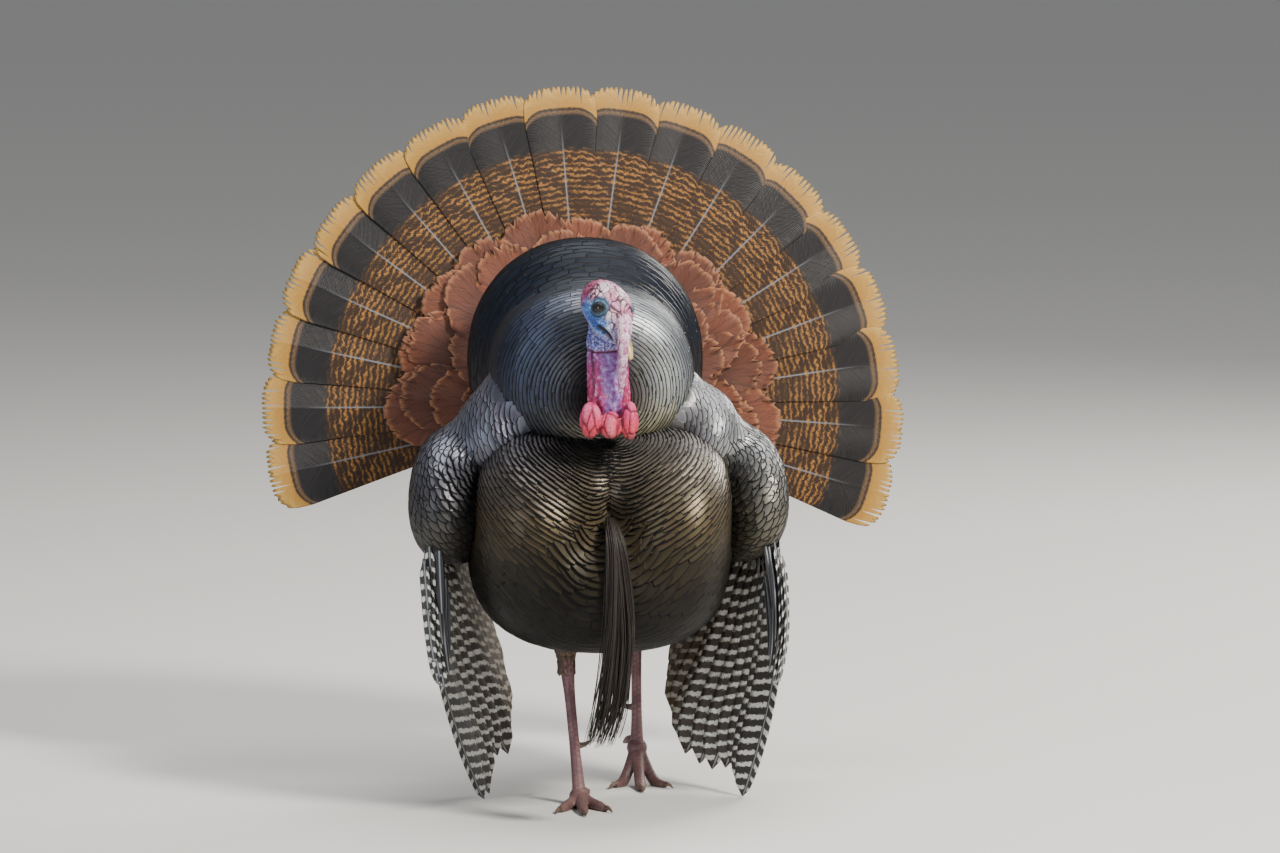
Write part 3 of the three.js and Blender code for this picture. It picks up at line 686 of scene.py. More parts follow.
def clearOfNeck(tips):
    return (np.hypot(tips[:, 0] + 4, tips[:, 1] + 208) > 21) | (tips[:, 2] > 575) | (tips[:, 2] < 452)


ruffRings = surfaceRings("ruff", frontMark, ("back",), 30)
ruffKeep = clearOf(
    ("breastRight", "breastLeft", "shoulderRight", "shoulderLeft"), 5,
    lambda tips: (outside(bodyPlan["ruff"], tips) < outside(bodyPlan["back"], tips)) & clearOfNeck(tips),
)
wholeMap = (0.02, 0.02, 0.96, 0.96)
makeCoat("ruffFeathers", [layFeathers(ruffRings, ruffPlan, ruffKeep, ruffTint, wholeMap)], 0.35, "silver")

backPlan = {
    "start": 60, "end": 420, "step": (8, 9.5, 12, 14), "width": (34, 44, 48, 50), "length": (34, 46, 56, 60), "depth": 11,
    "lift": 1.8, "overlap": 0.68, "round": 0.07, "uneven": 0.12, "roll": 0.1, "camber": 0.4, "yaw": 0.02, "loose": 0.12,
}


def backTint(tips):
    low = smooth(560, 430, tips[:, 2])[:, None]
    rear = smooth(60, 165, tips[:, 1])[:, None]
    base = mix(np.array((0.006, 0.010, 0.020)), np.array((0.060, 0.036, 0.024)), np.maximum(low * 0.3, rear))
    return shaded(tips, base, 40)


backRings = surfaceRings("back", frontMark, ("ruff",), 30)
backKeep = clearOf(
    ("shoulderRight", "shoulderLeft", "wingRight", "wingLeft", "belly"), 6,
    lambda tips: outside(bodyPlan["back"], tips) <= outside(bodyPlan["ruff"], tips) + 1,
)
makeCoat("backFeathers", [layFeathers(backRings, backPlan, backKeep, backTint, wholeMap)], 0.6, "black")

breastPlan = {
    "start": 3, "end": 330, "step": (3.6, 5.4, 7.2, 9.0, 10.5), "width": (12, 26, 38, 44, 48), "length": (14, 24, 34, 42, 48),
    "depth": 9, "lift": 0.5, "overlap": 0.7, "round": 0.04, "camber": 0.4, "yaw": 0.015, "loose": 0.07, "roll": 0.05, "uneven": 0.05, "narrow": 0.0,
}
bellyPlan = {
    "start": 40, "end": 640, "step": (8, 10, 12, 14, 15), "width": (36, 42, 48, 50, 52), "length": (44, 52, 60, 62, 66),
    "depth": 11, "lift": 1.5, "overlap": 0.7, "round": 0.08, "loose": 0.12, "yaw": 0.03, "camber": 0.6, "roll": 0.1, "uneven": 0.1,
}
# The bronze darkens towards the bottom: partly the belly's own darker feathers, partly painted shade under the body.
bronzeRamp = [
    (195, (0.004, 0.003, 0.002)), (240, (0.009, 0.007, 0.004)), (295, (0.026, 0.020, 0.010)), (345, (0.110, 0.084, 0.048)),
    (400, (0.21, 0.176, 0.135)), (440, (0.225, 0.210, 0.200)),
]


def breastTint(tips):
    x, y, z = tips.T
    base = ramp(z, bronzeRamp)
    # Painted shade on the low outer sides of the breast, next to the wings.
    outer = smooth(95, 150, np.abs(x + 2))[:, None] * smooth(330, 240, z)[:, None]
    base = mix(base, base * 0.4, outer)
    # The bird's right side gets painted shade with a bluer sheen, and its left side a painted highlight.
    base = mix(base, base * np.array((0.62, 0.64, 0.80)), (smooth(0, -100, x) * smooth(320, 420, z))[:, None])
    base = mix(base, base * np.array((1.35, 1.38, 1.42)), (smooth(0, 60, x) * smooth(360, 420, z))[:, None])
    base = mix(base, np.array((0.050, 0.036, 0.026)), smooth(-60, 120, y)[:, None] * 0.85)
    return shaded(tips, base, 34, 5.0)


breastParts = []
for sideName, side in (("Right", -1), ("Left", 1)):
    name = "breast" + sideName
    rings = surfaceRings(name, cleftMark, ("belly", "crop"), 26)
    mine = lambda tips, name=name, side=side: (
        (outside(bodyPlan[name], tips) < outside(bodyPlan["belly"], tips) + 1) & ((tips[:, 0] + 2) * side > -1)
    )
    keep = clearOf(("ruff", "shoulder" + sideName, "wing" + sideName), 7, mine)
    breastParts.append(layFeathers(rings, breastPlan, keep, breastTint, (0.02 + 0.48 * (side > 0), 0.02, 0.46, 0.96)))
cropPlan = {
    "start": 2, "end": 110, "step": (3.4, 4.6, 6.0), "width": (9, 16, 22), "length": (12, 20, 30), "depth": 7, "lift": 0.5,
    "overlap": 0.7, "round": 0.05, "camber": 0.5,
}
cropKeep = clearOf(("breastRight", "breastLeft", "ruff"), 3)
rings = surfaceRings("crop", cleftMark)
breastParts.append(layFeathers(rings, cropPlan, cropKeep, breastTint, (0.02, 0.02, 0.96, 0.96)))
makeCoat("breastFeathers", breastParts, 0.35, "bronze")

bellyRings = surfaceRings("belly", cleftMark, ("breastRight", "breastLeft"), 30)


def bellyOwn(tips):
    lobes = np.minimum(outside(bodyPlan["breastRight"], tips), outside(bodyPlan["breastLeft"], tips))
    return lobes > outside(bodyPlan["belly"], tips) - 1


bellyKeep = clearOf(("wingRight", "wingLeft", "underTail", "back", "ruff"), 10, bellyOwn)
makeCoat("bellyFeathers", [layFeathers(bellyRings, bellyPlan, bellyKeep, breastTint, wholeMap)], 0.6, "bronze")

shoulderPlan = {
    "start": 6, "end": 200, "step": (5.0, 7.0, 8.5), "width": (18, 28, 32), "length": (20, 30, 36), "depth": 8, "lift": 0.6,
    "overlap": 0.7, "round": 0.11, "camber": 0.5, "yaw": 0.025, "roll": 0.08, "uneven": 0.08,
}
wingPlan = {
    "start": 6, "end": 330, "step": (6.0, 9.5, 12.5), "width": (18, 30, 36), "length": (22, 36, 46), "depth": 9, "lift": 0.8,
    "overlap": 0.68, "round": 0.17, "camber": 0.8, "loose": 0.1, "yaw": 0.035, "roll": 0.1, "uneven": 0.1,
}


def wingTint(tips):
    x, y, z = tips.T
    base = ramp(z, [(255, (0.040, 0.034, 0.022)), (310, (0.095, 0.085, 0.062)), (360, (0.165, 0.155, 0.135)), (430, (0.25, 0.25, 0.26))])
    # The bird's right wing gets painted shade with a bluer sheen, and the left wing a painted highlight.
    base = mix(base, base * np.array((0.66, 0.68, 0.84)), (smooth(20, -90, x))[:, None])
    base = mix(base, base * np.array((1.25, 1.28, 1.30)), (smooth(40, 130, x))[:, None])
    base = mix(base, np.array((0.060, 0.045, 0.034)), smooth(-20, 90, y)[:, None] * 0.85)
    return shaded(tips, base, 30, 9.0)


shoulderParts, wingParts = [], []
for sideName, side in (("Right", -1), ("Left", 1)):
    half = (0.02 + 0.48 * (side > 0), 0.02, 0.46, 0.96)
    nearest = lambda tips, own, other: outside(bodyPlan[own], tips) < outside(bodyPlan[other], tips) + 1
    upper, lower = "shoulder" + sideName, "wing" + sideName
    rings = surfaceRings(upper, frontMark, (lower, "ruff"), 34)
    mine = lambda tips: nearest(tips, upper, lower) & nearest(tips, upper, "ruff")
    shoulderParts.append(layFeathers(rings, shoulderPlan, clearOf(("back", "breast" + sideName), 5, mine), wingTint, half))
    rings = surfaceRings(lower, (side * 118, -120, 405), (upper,), 34)
    mine = lambda tips: nearest(tips, lower, upper)
    wingParts.append(layFeathers(rings, wingPlan, clearOf(("back", "breast" + sideName, "belly"), 6, mine), wingTint, half))
makeCoat("shoulderFeathers", shoulderParts, 0.35, "silver")
makeCoat("wingFeathers", wingParts, 0.35, "bronze")

underTailPlan = {
    "start": 20, "end": 330, "step": (11, 13, 14), "width": (38, 46, 48), "length": (52, 62, 64), "depth": 12, "lift": 1.4,
    "overlap": 0.66, "round": 0.16, "uneven": 0.8,
}


def underTailTint(tips):
    base = mix(np.array((0.055, 0.036, 0.026)), np.array((0.16, 0.075, 0.040)), smooth(300, 400, tips[:, 2])[:, None])
    return shaded(tips, base, 40, 2.0)


def belowFan(tips):
    return (tips[:, 1] > 212) | (tips[:, 2] < 396)


rings = surfaceRings("underTail", (0, 110, 300))
keep = clearOf(("belly", "back", "wingRight", "wingLeft"), 8, belowFan)
makeCoat("underTailFeathers", [layFeathers(rings, underTailPlan, keep, underTailTint, wholeMap)], 0.4, "brown")


# Long feathers, each on its own curve. `across` runs from one rim of the vane to the other in mm, `fromTip` in mm.
def layBlades(blades, shape, cells):
    wide, high = cells
    rows, columns = shape
    patches = []
    for index in range(len(blades)):
        u, v = np.meshgrid(np.linspace(0.04, 0.96, columns), np.linspace(0.02, 0.98, rows))
        patches.append(np.stack(((index % wide + u) / wide, (index // wide + v) / high), -1))
    vane = np.stack([np.stack((0.5 + blade["across"] / 50, 1 - blade["fromTip"] / 50), -1) for blade in blades])
    return np.stack([blade["grid"] for blade in blades]), vane, np.array(patches)


fanPlan = {
    "at": (-2, 205, 432), "feathers": 18, "reach": 378, "spread": 209, "swing": 2.3, "lean": 7, "cup": 0.07,
    "tipCurl": 14, "width": 86, "quillWidth": 11, "quillStart": 42, "stack": 1.7, "fringe": 34, "clumps": 15,
}
leanTurn = math.radians(fanPlan["lean"])
fanUp, fanFront = np.array((0, math.sin(leanTurn), math.cos(leanTurn))), np.array((0, -math.cos(leanTurn), math.sin(leanTurn)))


def onFan(angle, along, across, front):
    x = along * np.sin(angle) + across * np.cos(angle)
    z = along * np.cos(angle) - across * np.sin(angle)
    far = np.maximum(np.hypot(x, z), 1e-6)
    dish = fanPlan["cup"] * far * (x / far) ** 2 - fanPlan["tipCurl"] * (far / fanPlan["reach"]) ** 3
    points = np.array(fanPlan["at"]) + fanUp * z[..., None] + fanFront * (front + dish)[..., None]
    points[..., 0] += x
    return points


def fanFeather(index):
    plan = fanPlan
    angle = math.radians(plan["swing"] + plan["spread"] * (index - 8.5) / 17)
    order = index - 8.5 if index > 8.5 else 8 - index
    edges, cuts = [-1.0], [0.0]
    for clump in range(plan["clumps"]):
        left = -1 + 2 * clump / plan["clumps"]
        step = 2 / plan["clumps"]
        edges += [left + step * 0.24, left + step * 0.5, left + step * 0.76, left + step]
        deep = chance.choice((4, 9, 16, 24), p=(0.25, 0.25, 0.28, 0.22))
        cuts += [chance.uniform(1.0, 3.6), chance.uniform(0, 2.2), chance.uniform(1.0, 3.6), deep]
    cuts[0] = cuts[-1] = 9.0
    u, cut = np.array(edges)[::-1], np.array(cuts)[::-1]
    tip = plan["reach"] * (1 - 0.045 * np.abs(u) ** 4) * chance.uniform(0.99, 1.0)
    root = np.linspace(0, 1, 15)[:-1, None] * (tip - plan["fringe"] - plan["quillStart"]) + plan["quillStart"]
    fringe = tip - plan["fringe"] + np.linspace(0, 1, 6)[:, None] * (plan["fringe"] - cut)
    along = np.concatenate((root, fringe))
    v = (along - plan["quillStart"]) / (plan["reach"] - plan["quillStart"])
    half = mix(plan["quillWidth"], plan["width"], np.minimum(1, 1.15 * v) ** 1.1) / 2
    across = u * half
    curl = chance.normal(0, 1.2) * smooth(0.6, 1, v) * u
    front = -order * plan["stack"] - 0.9 * u * u + 0.3 * np.exp(-(across / 1.6) ** 2) + curl
    fromTip = mix(tip, plan["reach"] * 0.99, smooth(30, 95, tip - along)) - along
    return {"grid": onFan(angle, along, across, front), "across": across, "fromTip": fromTip}


def makeBlades(name, blades, cells, thick, tints, material, marks=None):
    grid, vane, patch = layBlades(blades, blades[0]["grid"].shape[:2], cells)
    piece = makeVanes(name, grid, thick, vane, patch, tints, materials[material], marks)
    say(f"{name}, {len(blades)} feathers")
    return piece


fanFeathers = [fanFeather(index) for index in range(fanPlan["feathers"])]
fanTints = np.clip(chance.normal(1, 0.05, (18, 1)) * np.ones((18, 3)) * 0.5, 0, 1)
fan = makeBlades("fanFeathers", fanFeathers, (9, 2), 0.5, fanTints, "fan")
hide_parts(*(f"tail_feather_{index + 1:02d}" for index in range(18)))

covertPlan = {
    "rows": (  # reach, count, shift of every other row, length
        (238, 11, 0.0, 130), (222, 10, 0.5, 122), (186, 9, 0.0, 112), (150, 8, 0.5, 98), (112, 7, 0.0, 74),
    ),
    "spread": 206, "width": 104, "lift": 26, "start": 46, "columns": 41,
}


def covertFeather(reach, angle, length, width, front):
    count = covertPlan["columns"]
    u = np.linspace(1, -1, count)
    slit = chance.uniform(0, 1, count) ** 2.6 * 12.0
    slit[::2] *= 0.3
    v = np.concatenate((np.linspace(0, 0.80, 9), np.linspace(0.86, 1, 5)))[:, None]
    tip = length * (1 - 0.34 * np.abs(u) ** 2.6)
    along = reach - length + tip * v - slit * smooth(0.80, 1, v)
    across = u * width / 2 * np.sin(np.pi / 2 * np.clip(0.26 + 0.84 * v, 0, 1))
    across = across + 1.6 * np.sin(np.arange(count) * 1.9 + reach) * smooth(0.75, 1, v)
    lift = 4 + covertPlan["lift"] * np.clip(1 - along / 236, 0, 1) ** 1.4
    cup = -4.2 * u * u * v + 3.0 * v ** 3 + chance.normal(0, 3.0) * u * v + 0.5 * np.sin(u * 9 + reach) * v ** 3
    return {"grid": onFan(angle, along, across, lift + front + cup), "across": across, "fromTip": tip - tip * v}


def rearPlace(feather, reach, length):
    return reach - feather["fromTip"], feather["across"]


covertFeathers, covertTints = [], []
for row, (reach, count, half, length) in enumerate(covertPlan["rows"]):
    for index in range(count):
        share = (index + half * 0.5 + 0.25) / (count - 0.5 + half * 0.5) - 0.5
        angle = math.radians(fanPlan["swing"] + covertPlan["spread"] * share * 0.95 + chance.normal(0, 3.6))
        order = abs(index - count / 2 + 0.3)
        size = chance.uniform(0.82, 1.06)
        front = row * 2.8 - order * 0.5
        width = covertPlan["width"] * size * (1.0 - 0.08 * row)
        covertFeathers.append(covertFeather(reach * chance.uniform(0.93, 1.01), angle, length * size, width, front))
        covertTints.append(np.array((0.21, 0.060, 0.028)) * chance.uniform(0.7, 1.3) * (1 - 0.10 * row))
makeBlades("covertFeathers", covertFeathers, (9, 5), 0.45, np.array(covertTints), "covert")

# Behind the fan the under-tail feathers close round its root
rearPlan = {"rows": ((178, 11, 92), (142, 10, 82), (104, 10, 66), (70, 10, 50), (42, 9, 38)), "spread": 204, "width": 66}
rearFeathers, rearTints = [], []
for row, (reach, count, length) in enumerate(rearPlan["rows"]):
    for index in range(count):
        share = (index + 0.5 + 0.3 * (row % 2)) / (count + 0.3) - 0.5
        angle = math.radians(fanPlan["swing"] + rearPlan["spread"] * share + chance.normal(0, 2.0))
        size = chance.uniform(0.9, 1.06)
        back = -15 - 3.0 * row - 0.4 * (index % 2)
        feather = covertFeather(reach * chance.uniform(0.95, 1.02), angle, length * size, rearPlan["width"] * size * (1 - 0.08 * row), 0)
        fall = feather["fromTip"] / length
        u = np.linspace(1, -1, covertPlan["columns"])
        feather["grid"] = onFan(angle, *rearPlace(feather, reach, length), back - 7 * fall ** 2 + 3 * u * u * (1 - fall))
        rearFeathers.append(feather)
        rearTints.append(np.array((0.16, 0.082, 0.045)) * chance.uniform(0.8, 1.2))
makeBlades("rearCovertFeathers", rearFeathers, (9, 5), 0.45, np.array(rearTints), "brown")

wingBladePlan = {
    "roots": [(200, -82, 312), (194, 6, 318), (176, 76, 330), (150, 140, 348)],
    "tips": {
        "Right": [(133, -8, -4), (122, 34, 2), (104, 66, 20), (92, 100, 62), (98, 142, 120), (122, 186, 196)],
        "Left": [(168, -8, -4), (150, 34, 2), (122, 66, 20), (92, 100, 62), (96, 142, 120), (120, 186, 196)],
    },
    "bow": 17, "primaries": 7, "secondaries": 8, "coverts": 9,
}


def curveThrough(points, share):
    points = np.array(points, float)
    points = np.concatenate(([2 * points[0] - points[1]], points, [2 * points[-1] - points[-2]]))
    place = np.clip(np.asarray(share, float), 0, 1) * (len(points) - 3)
    index = np.minimum(place.astype(int), len(points) - 4)
    t = (place - index)[..., None]
    a, b, c, d = (points[index + k] for k in range(4))
    return 0.5 * (2 * b + (c - a) * t + (2 * a - 5 * b + 4 * c - d) * t ** 2 + (3 * b - a - 3 * c + d) * t ** 3)


def onWing(sideName, side, share, reach):
    plan = wingBladePlan
    root, tip = curveThrough(plan["roots"], share), curveThrough(plan["tips"][sideName], share)
    points = mix(root, tip, np.asarray(reach, float)[..., None])
    points[..., 0] += plan["bow"] * np.sin(np.pi * reach)
    points[..., 0] *= side
    return points


# One blade along a line of points. Its vane is narrower on the leading side, and lies like a shingle.
def bladeAlong(line, ahead, lead, trail, raised=0.0, shingle=2.0, point=0.16, columns=11, stem=0.3):
    v = np.linspace(0, 1, len(line))
    tangent = np.gradient(line, axis=0)
    run = np.concatenate(((0,), np.cumsum(np.linalg.norm(np.diff(line, axis=0), axis=1))))
    tangent /= np.linalg.norm(tangent, axis=-1, keepdims=True)
    sideways = ahead - (ahead * tangent).sum(-1, keepdims=True) * tangent
    sideways /= np.linalg.norm(sideways, axis=-1, keepdims=True)
    face = np.cross(tangent, sideways)
    rounded = np.sqrt(np.clip(1 - (np.clip(v - (1 - point), 0, None) / point) ** 2, 0.0, 1))
    full = (stem + (1 - stem) * smooth(0, 0.35, v)) * np.maximum(rounded, 0.04)
    u = np.linspace(-1, 1, columns)
    across = np.where(u < 0, u * lead, u * trail)[None, :] * full[:, None]
    height = raised - shingle * across / (lead + trail) * 2 - 0.0018 * across ** 2 + 0.5 * np.exp(-(across / 1.4) ** 2)
    grid = line[:, None] + sideways[:, None] * across[..., None] + face[:, None] * height[..., None]
    return grid, across, run[-1] - run[:, None] + 0 * across


def keepAboveFloor(grid):
    grid[..., 2] = np.maximum(grid[..., 2], 0.8 + 0.06 * np.maximum(grid[..., 2], -12))
    return grid


def wingBlade(sideName, side, share, lead, trail, start=0.0, end=1.0, raised=0.0, shingle=2.0, point=0.16):
    reach = np.linspace(start, end, 24)
    line, before, after = (onWing(sideName, side, np.full(24, share + step), reach) for step in (0, -0.01, 0.01))
    ahead = after - before
    grid, across, fromTip = bladeAlong(line, ahead, lead, trail, raised * -side, shingle * -side, point)
    return {"grid": keepAboveFloor(grid), "across": across, "fromTip": fromTip + chance.uniform(0, 15)}


for sideName, side in (("Right", -1), ("Left", 1)):
    blades, tints, marks = [], [], []
    for index in range(wingBladePlan["primaries"]):
        share = 0.02 + 0.47 * index / (wingBladePlan["primaries"] - 1)
        end = 1.0 - 0.09 * chance.random() * (index > 0)
        blades.append(wingBlade(sideName, side, share, 10, 28, end=end, point=0.26, shingle=-8.0))
        tints.append(mix(np.array((0.026, 0.022, 0.020)), np.array((0.048, 0.034, 0.024)), index / 6))
        marks.append((0.95, 0.95, 0.12 * index / 6))
    for index in range(wingBladePlan["secondaries"]):
        share = 0.52 + 0.46 * index / (wingBladePlan["secondaries"] - 1)
        far = index / (wingBladePlan["secondaries"] - 1)
        blades.append(wingBlade(sideName, side, share, 15, 30, end=1.0 - 0.08 * chance.random(), point=0.16, shingle=-7.0))
        tints.append(mix(np.array((0.066, 0.043, 0.026)), np.array((0.105, 0.066, 0.038)), far))
        marks.append((0.08, 0.9 - 0.3 * far, 0.5 + 0.5 * far))
    piece = makeBlades(f"flightFeathers{sideName}", blades, (12, 2), 0.45, np.array(tints), "flight", np.array(marks))
    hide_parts(f"primaries_{sideName.lower()}", f"secondaries_{sideName.lower()}")

    blades, tints, marks = [], [], []
    for index in range(wingBladePlan["coverts"]):
        share = 0.06 + 0.88 * index / (wingBladePlan["coverts"] - 1)
        blades.append(wingBlade(sideName, side, share, 17, 19, -0.04, 0.40 - 0.05 * chance.random(), 5.0, 2.2, 0.22))
        tints.append(np.array((0.115, 0.095, 0.068)) * chance.uniform(0.85, 1.15))
        marks.append((0.06, 0.10, 1.0))
    for index in range(wingBladePlan["coverts"] + 3):
        share = 0.03 + 0.92 * index / (wingBladePlan["coverts"] + 2)
        blades.append(wingBlade(sideName, side, share, 15, 16, -0.12, 0.20 - 0.04 * chance.random(), 10.0, 2.2, 0.3))
        tints.append(np.array((0.15, 0.14, 0.125)) * chance.uniform(0.85, 1.15))
        marks.append((0.0, 0.0, 1.0))
    makeBlades(f"wingCoverts{sideName}", blades, (8, 4), 0.45, np.array(tints), "flight", np.array(marks))


# Soft brown feathers round each thigh, down to the hock
thighPlan = {
    "Right": ((-38, 8, 232), (-37.5, 0, 201.5), (-37, -8, 163)), "Left": ((52, 60, 232), (52.5, 89, 213), (53, 118, 186)),
    "radii": [(31, 37), (23, 27), (9.5, 11)], "step": 5.5, "width": 15, "length": 26,
}
for sideName, side in (("Right", -1), ("Left", 1)):
    blades, tints = [], []
    path = thighPlan[sideName]
    reaches = np.arange(-0.1, 0.98, 0.075)
    for row, start in enumerate(reaches):
        size = curveThrough(thighPlan["radii"], np.clip(start + 0.2, 0, 1))
        count = int(2 * np.pi * size.mean() / 8.5)
        for index in range(count):
            turn = (index + 0.5 * (row % 2)) * 2 * np.pi / count + chance.normal(0, 0.05)
            reach = start + np.linspace(0, 0.30, 7)
            centre = curveThrough(path, reach) + np.clip(reach - 1, 0, None)[:, None] * (np.array(path[2]) - np.array(path[1])) * 2
            size = curveThrough(thighPlan["radii"], np.clip(reach, 0, 1)) - 6 * (1 - np.linspace(0, 1, 7))[:, None]
            away = np.array((math.cos(turn), math.sin(turn)))
            line = centre + np.concatenate((away * size, np.zeros((7, 1))), 1)
            ahead = np.array((-away[1], away[0], 0))
            grid, across, fromTip = bladeAlong(line, ahead, 7.5, 7.5, 0, 0.4, 0.3, columns=5)
            blades.append({"grid": grid, "across": across, "fromTip": fromTip})
            tints.append(np.array((0.15, 0.095, 0.062)) * chance.uniform(0.7, 1.2))
    makeBlades(f"thighFeathers{sideName}", blades, (24, 24), 0.3, np.array(tints), "brown")


# The folded leading edge of each wing: dark blades of the thumb, and short barred coverts on their outer side
forearmPlan = {
    "Right": [(186, -92, 312), (184, -88, 255), (180, -74, 195), (172, -56, 138)],
    "Left": [(180, -92, 312), (190, -88, 255), (194, -74, 195), (190, -56, 138)],
}
for sideName, side in (("Right", -1), ("Left", 1)):
    path = np.array(forearmPlan[sideName], float) * (side, 1, 1)
    blades, tints, marks = [], [], []
    for start, end, out, front, lead, trail in (
        (-0.02, 0.5, 2, -8, 5, 9), (0.0, 0.70, 6, -6, 5, 8), (0.05, 0.92, 0, -4, 4, 7), (0.25, 0.80, -6, 0, 5, 7),
    ):
        reach = np.linspace(max(start, 0), end, 24)
        line = curveThrough(path, reach) + np.array((side * out, front * 1.0, 0)) * (1 - 0.75 * reach[:, None])
        grid, across, fromTip = bladeAlong(line, np.array((side * 1.0, 0.5, 0)), lead, trail, 0, 1.6, 0.7)
        blades.append({"grid": grid, "across": across, "fromTip": fromTip})
        tints.append(np.array((0.022, 0.023, 0.030)) * chance.uniform(0.8, 1.3))
        marks.append((0.0, 0.0, 0.0))
    for index in range(14):
        start = 0.02 + 0.055 * index
        reach = np.linspace(start, min(1, start + 0.36), 24)
        out = 13 + 3.5 * (index % 3) - 6 * start
        line = curveThrough(path, reach) + np.array((side * out, -4.0 + 5 * (index % 2), 0)) * (1 - 0.35 * (reach[:, None] - start))
        grid, across, fromTip = bladeAlong(line, np.array((side * 0.6, 0.8, 0)), 7, 8, 0, 1.4, 0.4)
        blades.append({"grid": grid, "across": across, "fromTip": fromTip})
        tints.append(np.array((0.024, 0.023, 0.025)))
        marks.append((1.0, 1.0, 0.0))
    makeBlades(f"forearmFeathers{sideName}", blades, (7, 3), 0.4, np.array(tints), "flight", np.array(marks))


# The beard is a tassel of stiff bristles
beardPlan = {
    "path": [(-2, -214, 350), (0, -240, 336), (4, -249, 300), (6, -248, 220), (-3, -240, 140), (-16, -230, 92)],
    "radii": [(4, 4), (8, 6), (12, 8), (18, 10), (20, 12), (17, 10)], "bristles": 300, "thick": 0.9, "steps": 16,
}


def makeBeard():
    plan = beardPlan
    count, steps, around = plan["bristles"], plan["steps"], 4
    reach = np.linspace(0, 1, steps)[None, :] * (0.66 + 0.34 * np.sqrt(chance.random((count, 1))))
    reach[:, 0] = 0
    centre = curveThrough(plan["path"], reach)
    sizes = np.array(plan["radii"], float)
    wide = np.stack([np.interp(reach, np.linspace(0, 1, 6), sizes[:, k]) for k in range(2)], -1)
    angle, out = chance.uniform(0, 2 * np.pi, (count, 1)), np.sqrt(chance.random((count, 1)))
    wave = 0.16 * np.sin(reach * chance.uniform(4, 9, (count, 1)) + angle * 3)
    side = (np.cos(angle) * out + wave) * wide[..., 0]
    front = (np.sin(angle) * out + wave * 0.6) * wide[..., 1]
    line = centre + np.stack((side, front, 0 * side), -1)
    thick = plan["thick"] * chance.uniform(0.7, 1.2, (count, 1)) * (1 - 0.75 * np.linspace(0, 1, steps)[None] ** 2)
    turn = np.arange(around) * 2 * np.pi / around
    ring = np.stack((np.cos(turn), np.sin(turn), 0 * turn), -1)
    points = line[:, :, None] + thick[..., None, None] * ring
    index = np.arange(steps * around).reshape(steps, around)
    following = np.roll(index, -1, axis=1)
    walls = np.stack((index[:-1], index[1:], following[1:], following[:-1]), -1).reshape(-1, 4)
    ends = np.array(((0, 1, 2, 3), tuple(index[-1][::-1])))
    faces = np.concatenate((walls, ends))
    quads = (faces[None] + (np.arange(count) * steps * around)[:, None, None]).reshape(-1, 4)
    vane = np.zeros((count, steps, around, 2))
    vane[..., 0] = np.arange(count)[:, None, None] * 0.37 + turn / 40
    vane[..., 1] = reach[..., None] * 4
    cell = np.stack((np.arange(count) % 20 / 20 + 0.02, np.arange(count) // 20 / 16 + 0.02), -1)
    patch = cell[:, None, None] + 0.04 * np.stack(np.broadcast_arrays(turn / 7, np.linspace(0, 1, steps)[:, None]), -1)
    tints = np.repeat(np.array((0.014, 0.011, 0.0095)) * chance.uniform(0.4, 2.6, (count, 1)), steps * around, axis=0)
    layers = {"OFBake": patch.reshape(-1, 2), "vane": vane.reshape(-1, 2)}
    piece = meshFromArrays("beardBristles", toFrame(points.reshape(-1, 3)), quads, layers, {"tint": tints})
    piece.data.materials.append(materials["beard"])
    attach(piece, "root")
    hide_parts("beard")
    say(f"beard, {count} bristles")


makeBeard()


# One skin for all flesh. Under the feathers it is drawn in by their depth, and on the head and legs it shows.
fleshNodes = {
    "covered": ["belly", "back", "ruff", "tail_root", "under_tail"]
    + [f"{part}_{side}" for part in ("breast", "shoulder", "wing", "alula", "thigh") for side in ("right", "left")],
    "head": ["head", "neck", "wattles", "snood"],
    "legs": [f"{part}_{side}" for part in ("shank", "foot") for side in ("right", "left")],
}
skinPlan = {"bodyVoxel": 0.0085, "headVoxel": 0.00096, "legVoxel": 0.0016, "drawnIn": 0.0125}


def selectOnly(*pieces):
    bpy.ops.object.select_all(action="DESELECT")
    for piece in pieces:
        piece.select_set(True)
    bpy.context.view_layer.objects.active = pieces[0]


# A closed solid through rings of points, each ring counted rows first
def solidFromRings(name, rings):
    rings = np.asarray(rings, float)
    rows, around = rings.shape[:2]
    index = np.arange(rows * around).reshape(rows, around)
    following = np.roll(index, -1, axis=1)
    walls = np.stack((index[:-1], following[:-1], following[1:], index[1:]), -1).reshape(-1, 4).tolist()
    mesh = bpy.data.meshes.new(name)
    mesh.from_pydata(toFrame(rings.reshape(-1, 3)).tolist(), [], walls + [index[0][::-1].tolist(), index[-1].tolist()])
    piece = bpy.data.objects.new(name, mesh)
    bpy.context.collection.objects.link(piece)
    selectOnly(piece)
    bpy.ops.object.mode_set(mode="EDIT")
    bpy.ops.mesh.select_all(action="SELECT")
    bpy.ops.mesh.normals_make_consistent(inside=False)
    bpy.ops.object.mode_set(mode="OBJECT")
    return piece


# A round solid along a path, with its radius to the side and to the front at even steps
def roundAlong(name, path, radii, rows=60, around=40):
    share = np.linspace(0, 1, rows)
    line = curveThrough(path, share)
    tangent = np.gradient(line, axis=0)
    tangent /= np.linalg.norm(tangent, axis=-1, keepdims=True)
    side = np.cross(tangent, (0, 1.0, 0.001))
    side /= np.linalg.norm(side, axis=-1, keepdims=True)
    front = np.cross(side, tangent)
    sizes = curveThrough(np.array(radii, float), share)
    turn = np.arange(around) * 2 * np.pi / around
    rings = (
        line[:, None] + side[:, None] * (sizes[:, None, :1] * np.cos(turn)[None, :, None])
        + front[:, None] * (sizes[:, None, 1:] * np.sin(turn)[None, :, None])
    )
    return solidFromRings(name, rings)


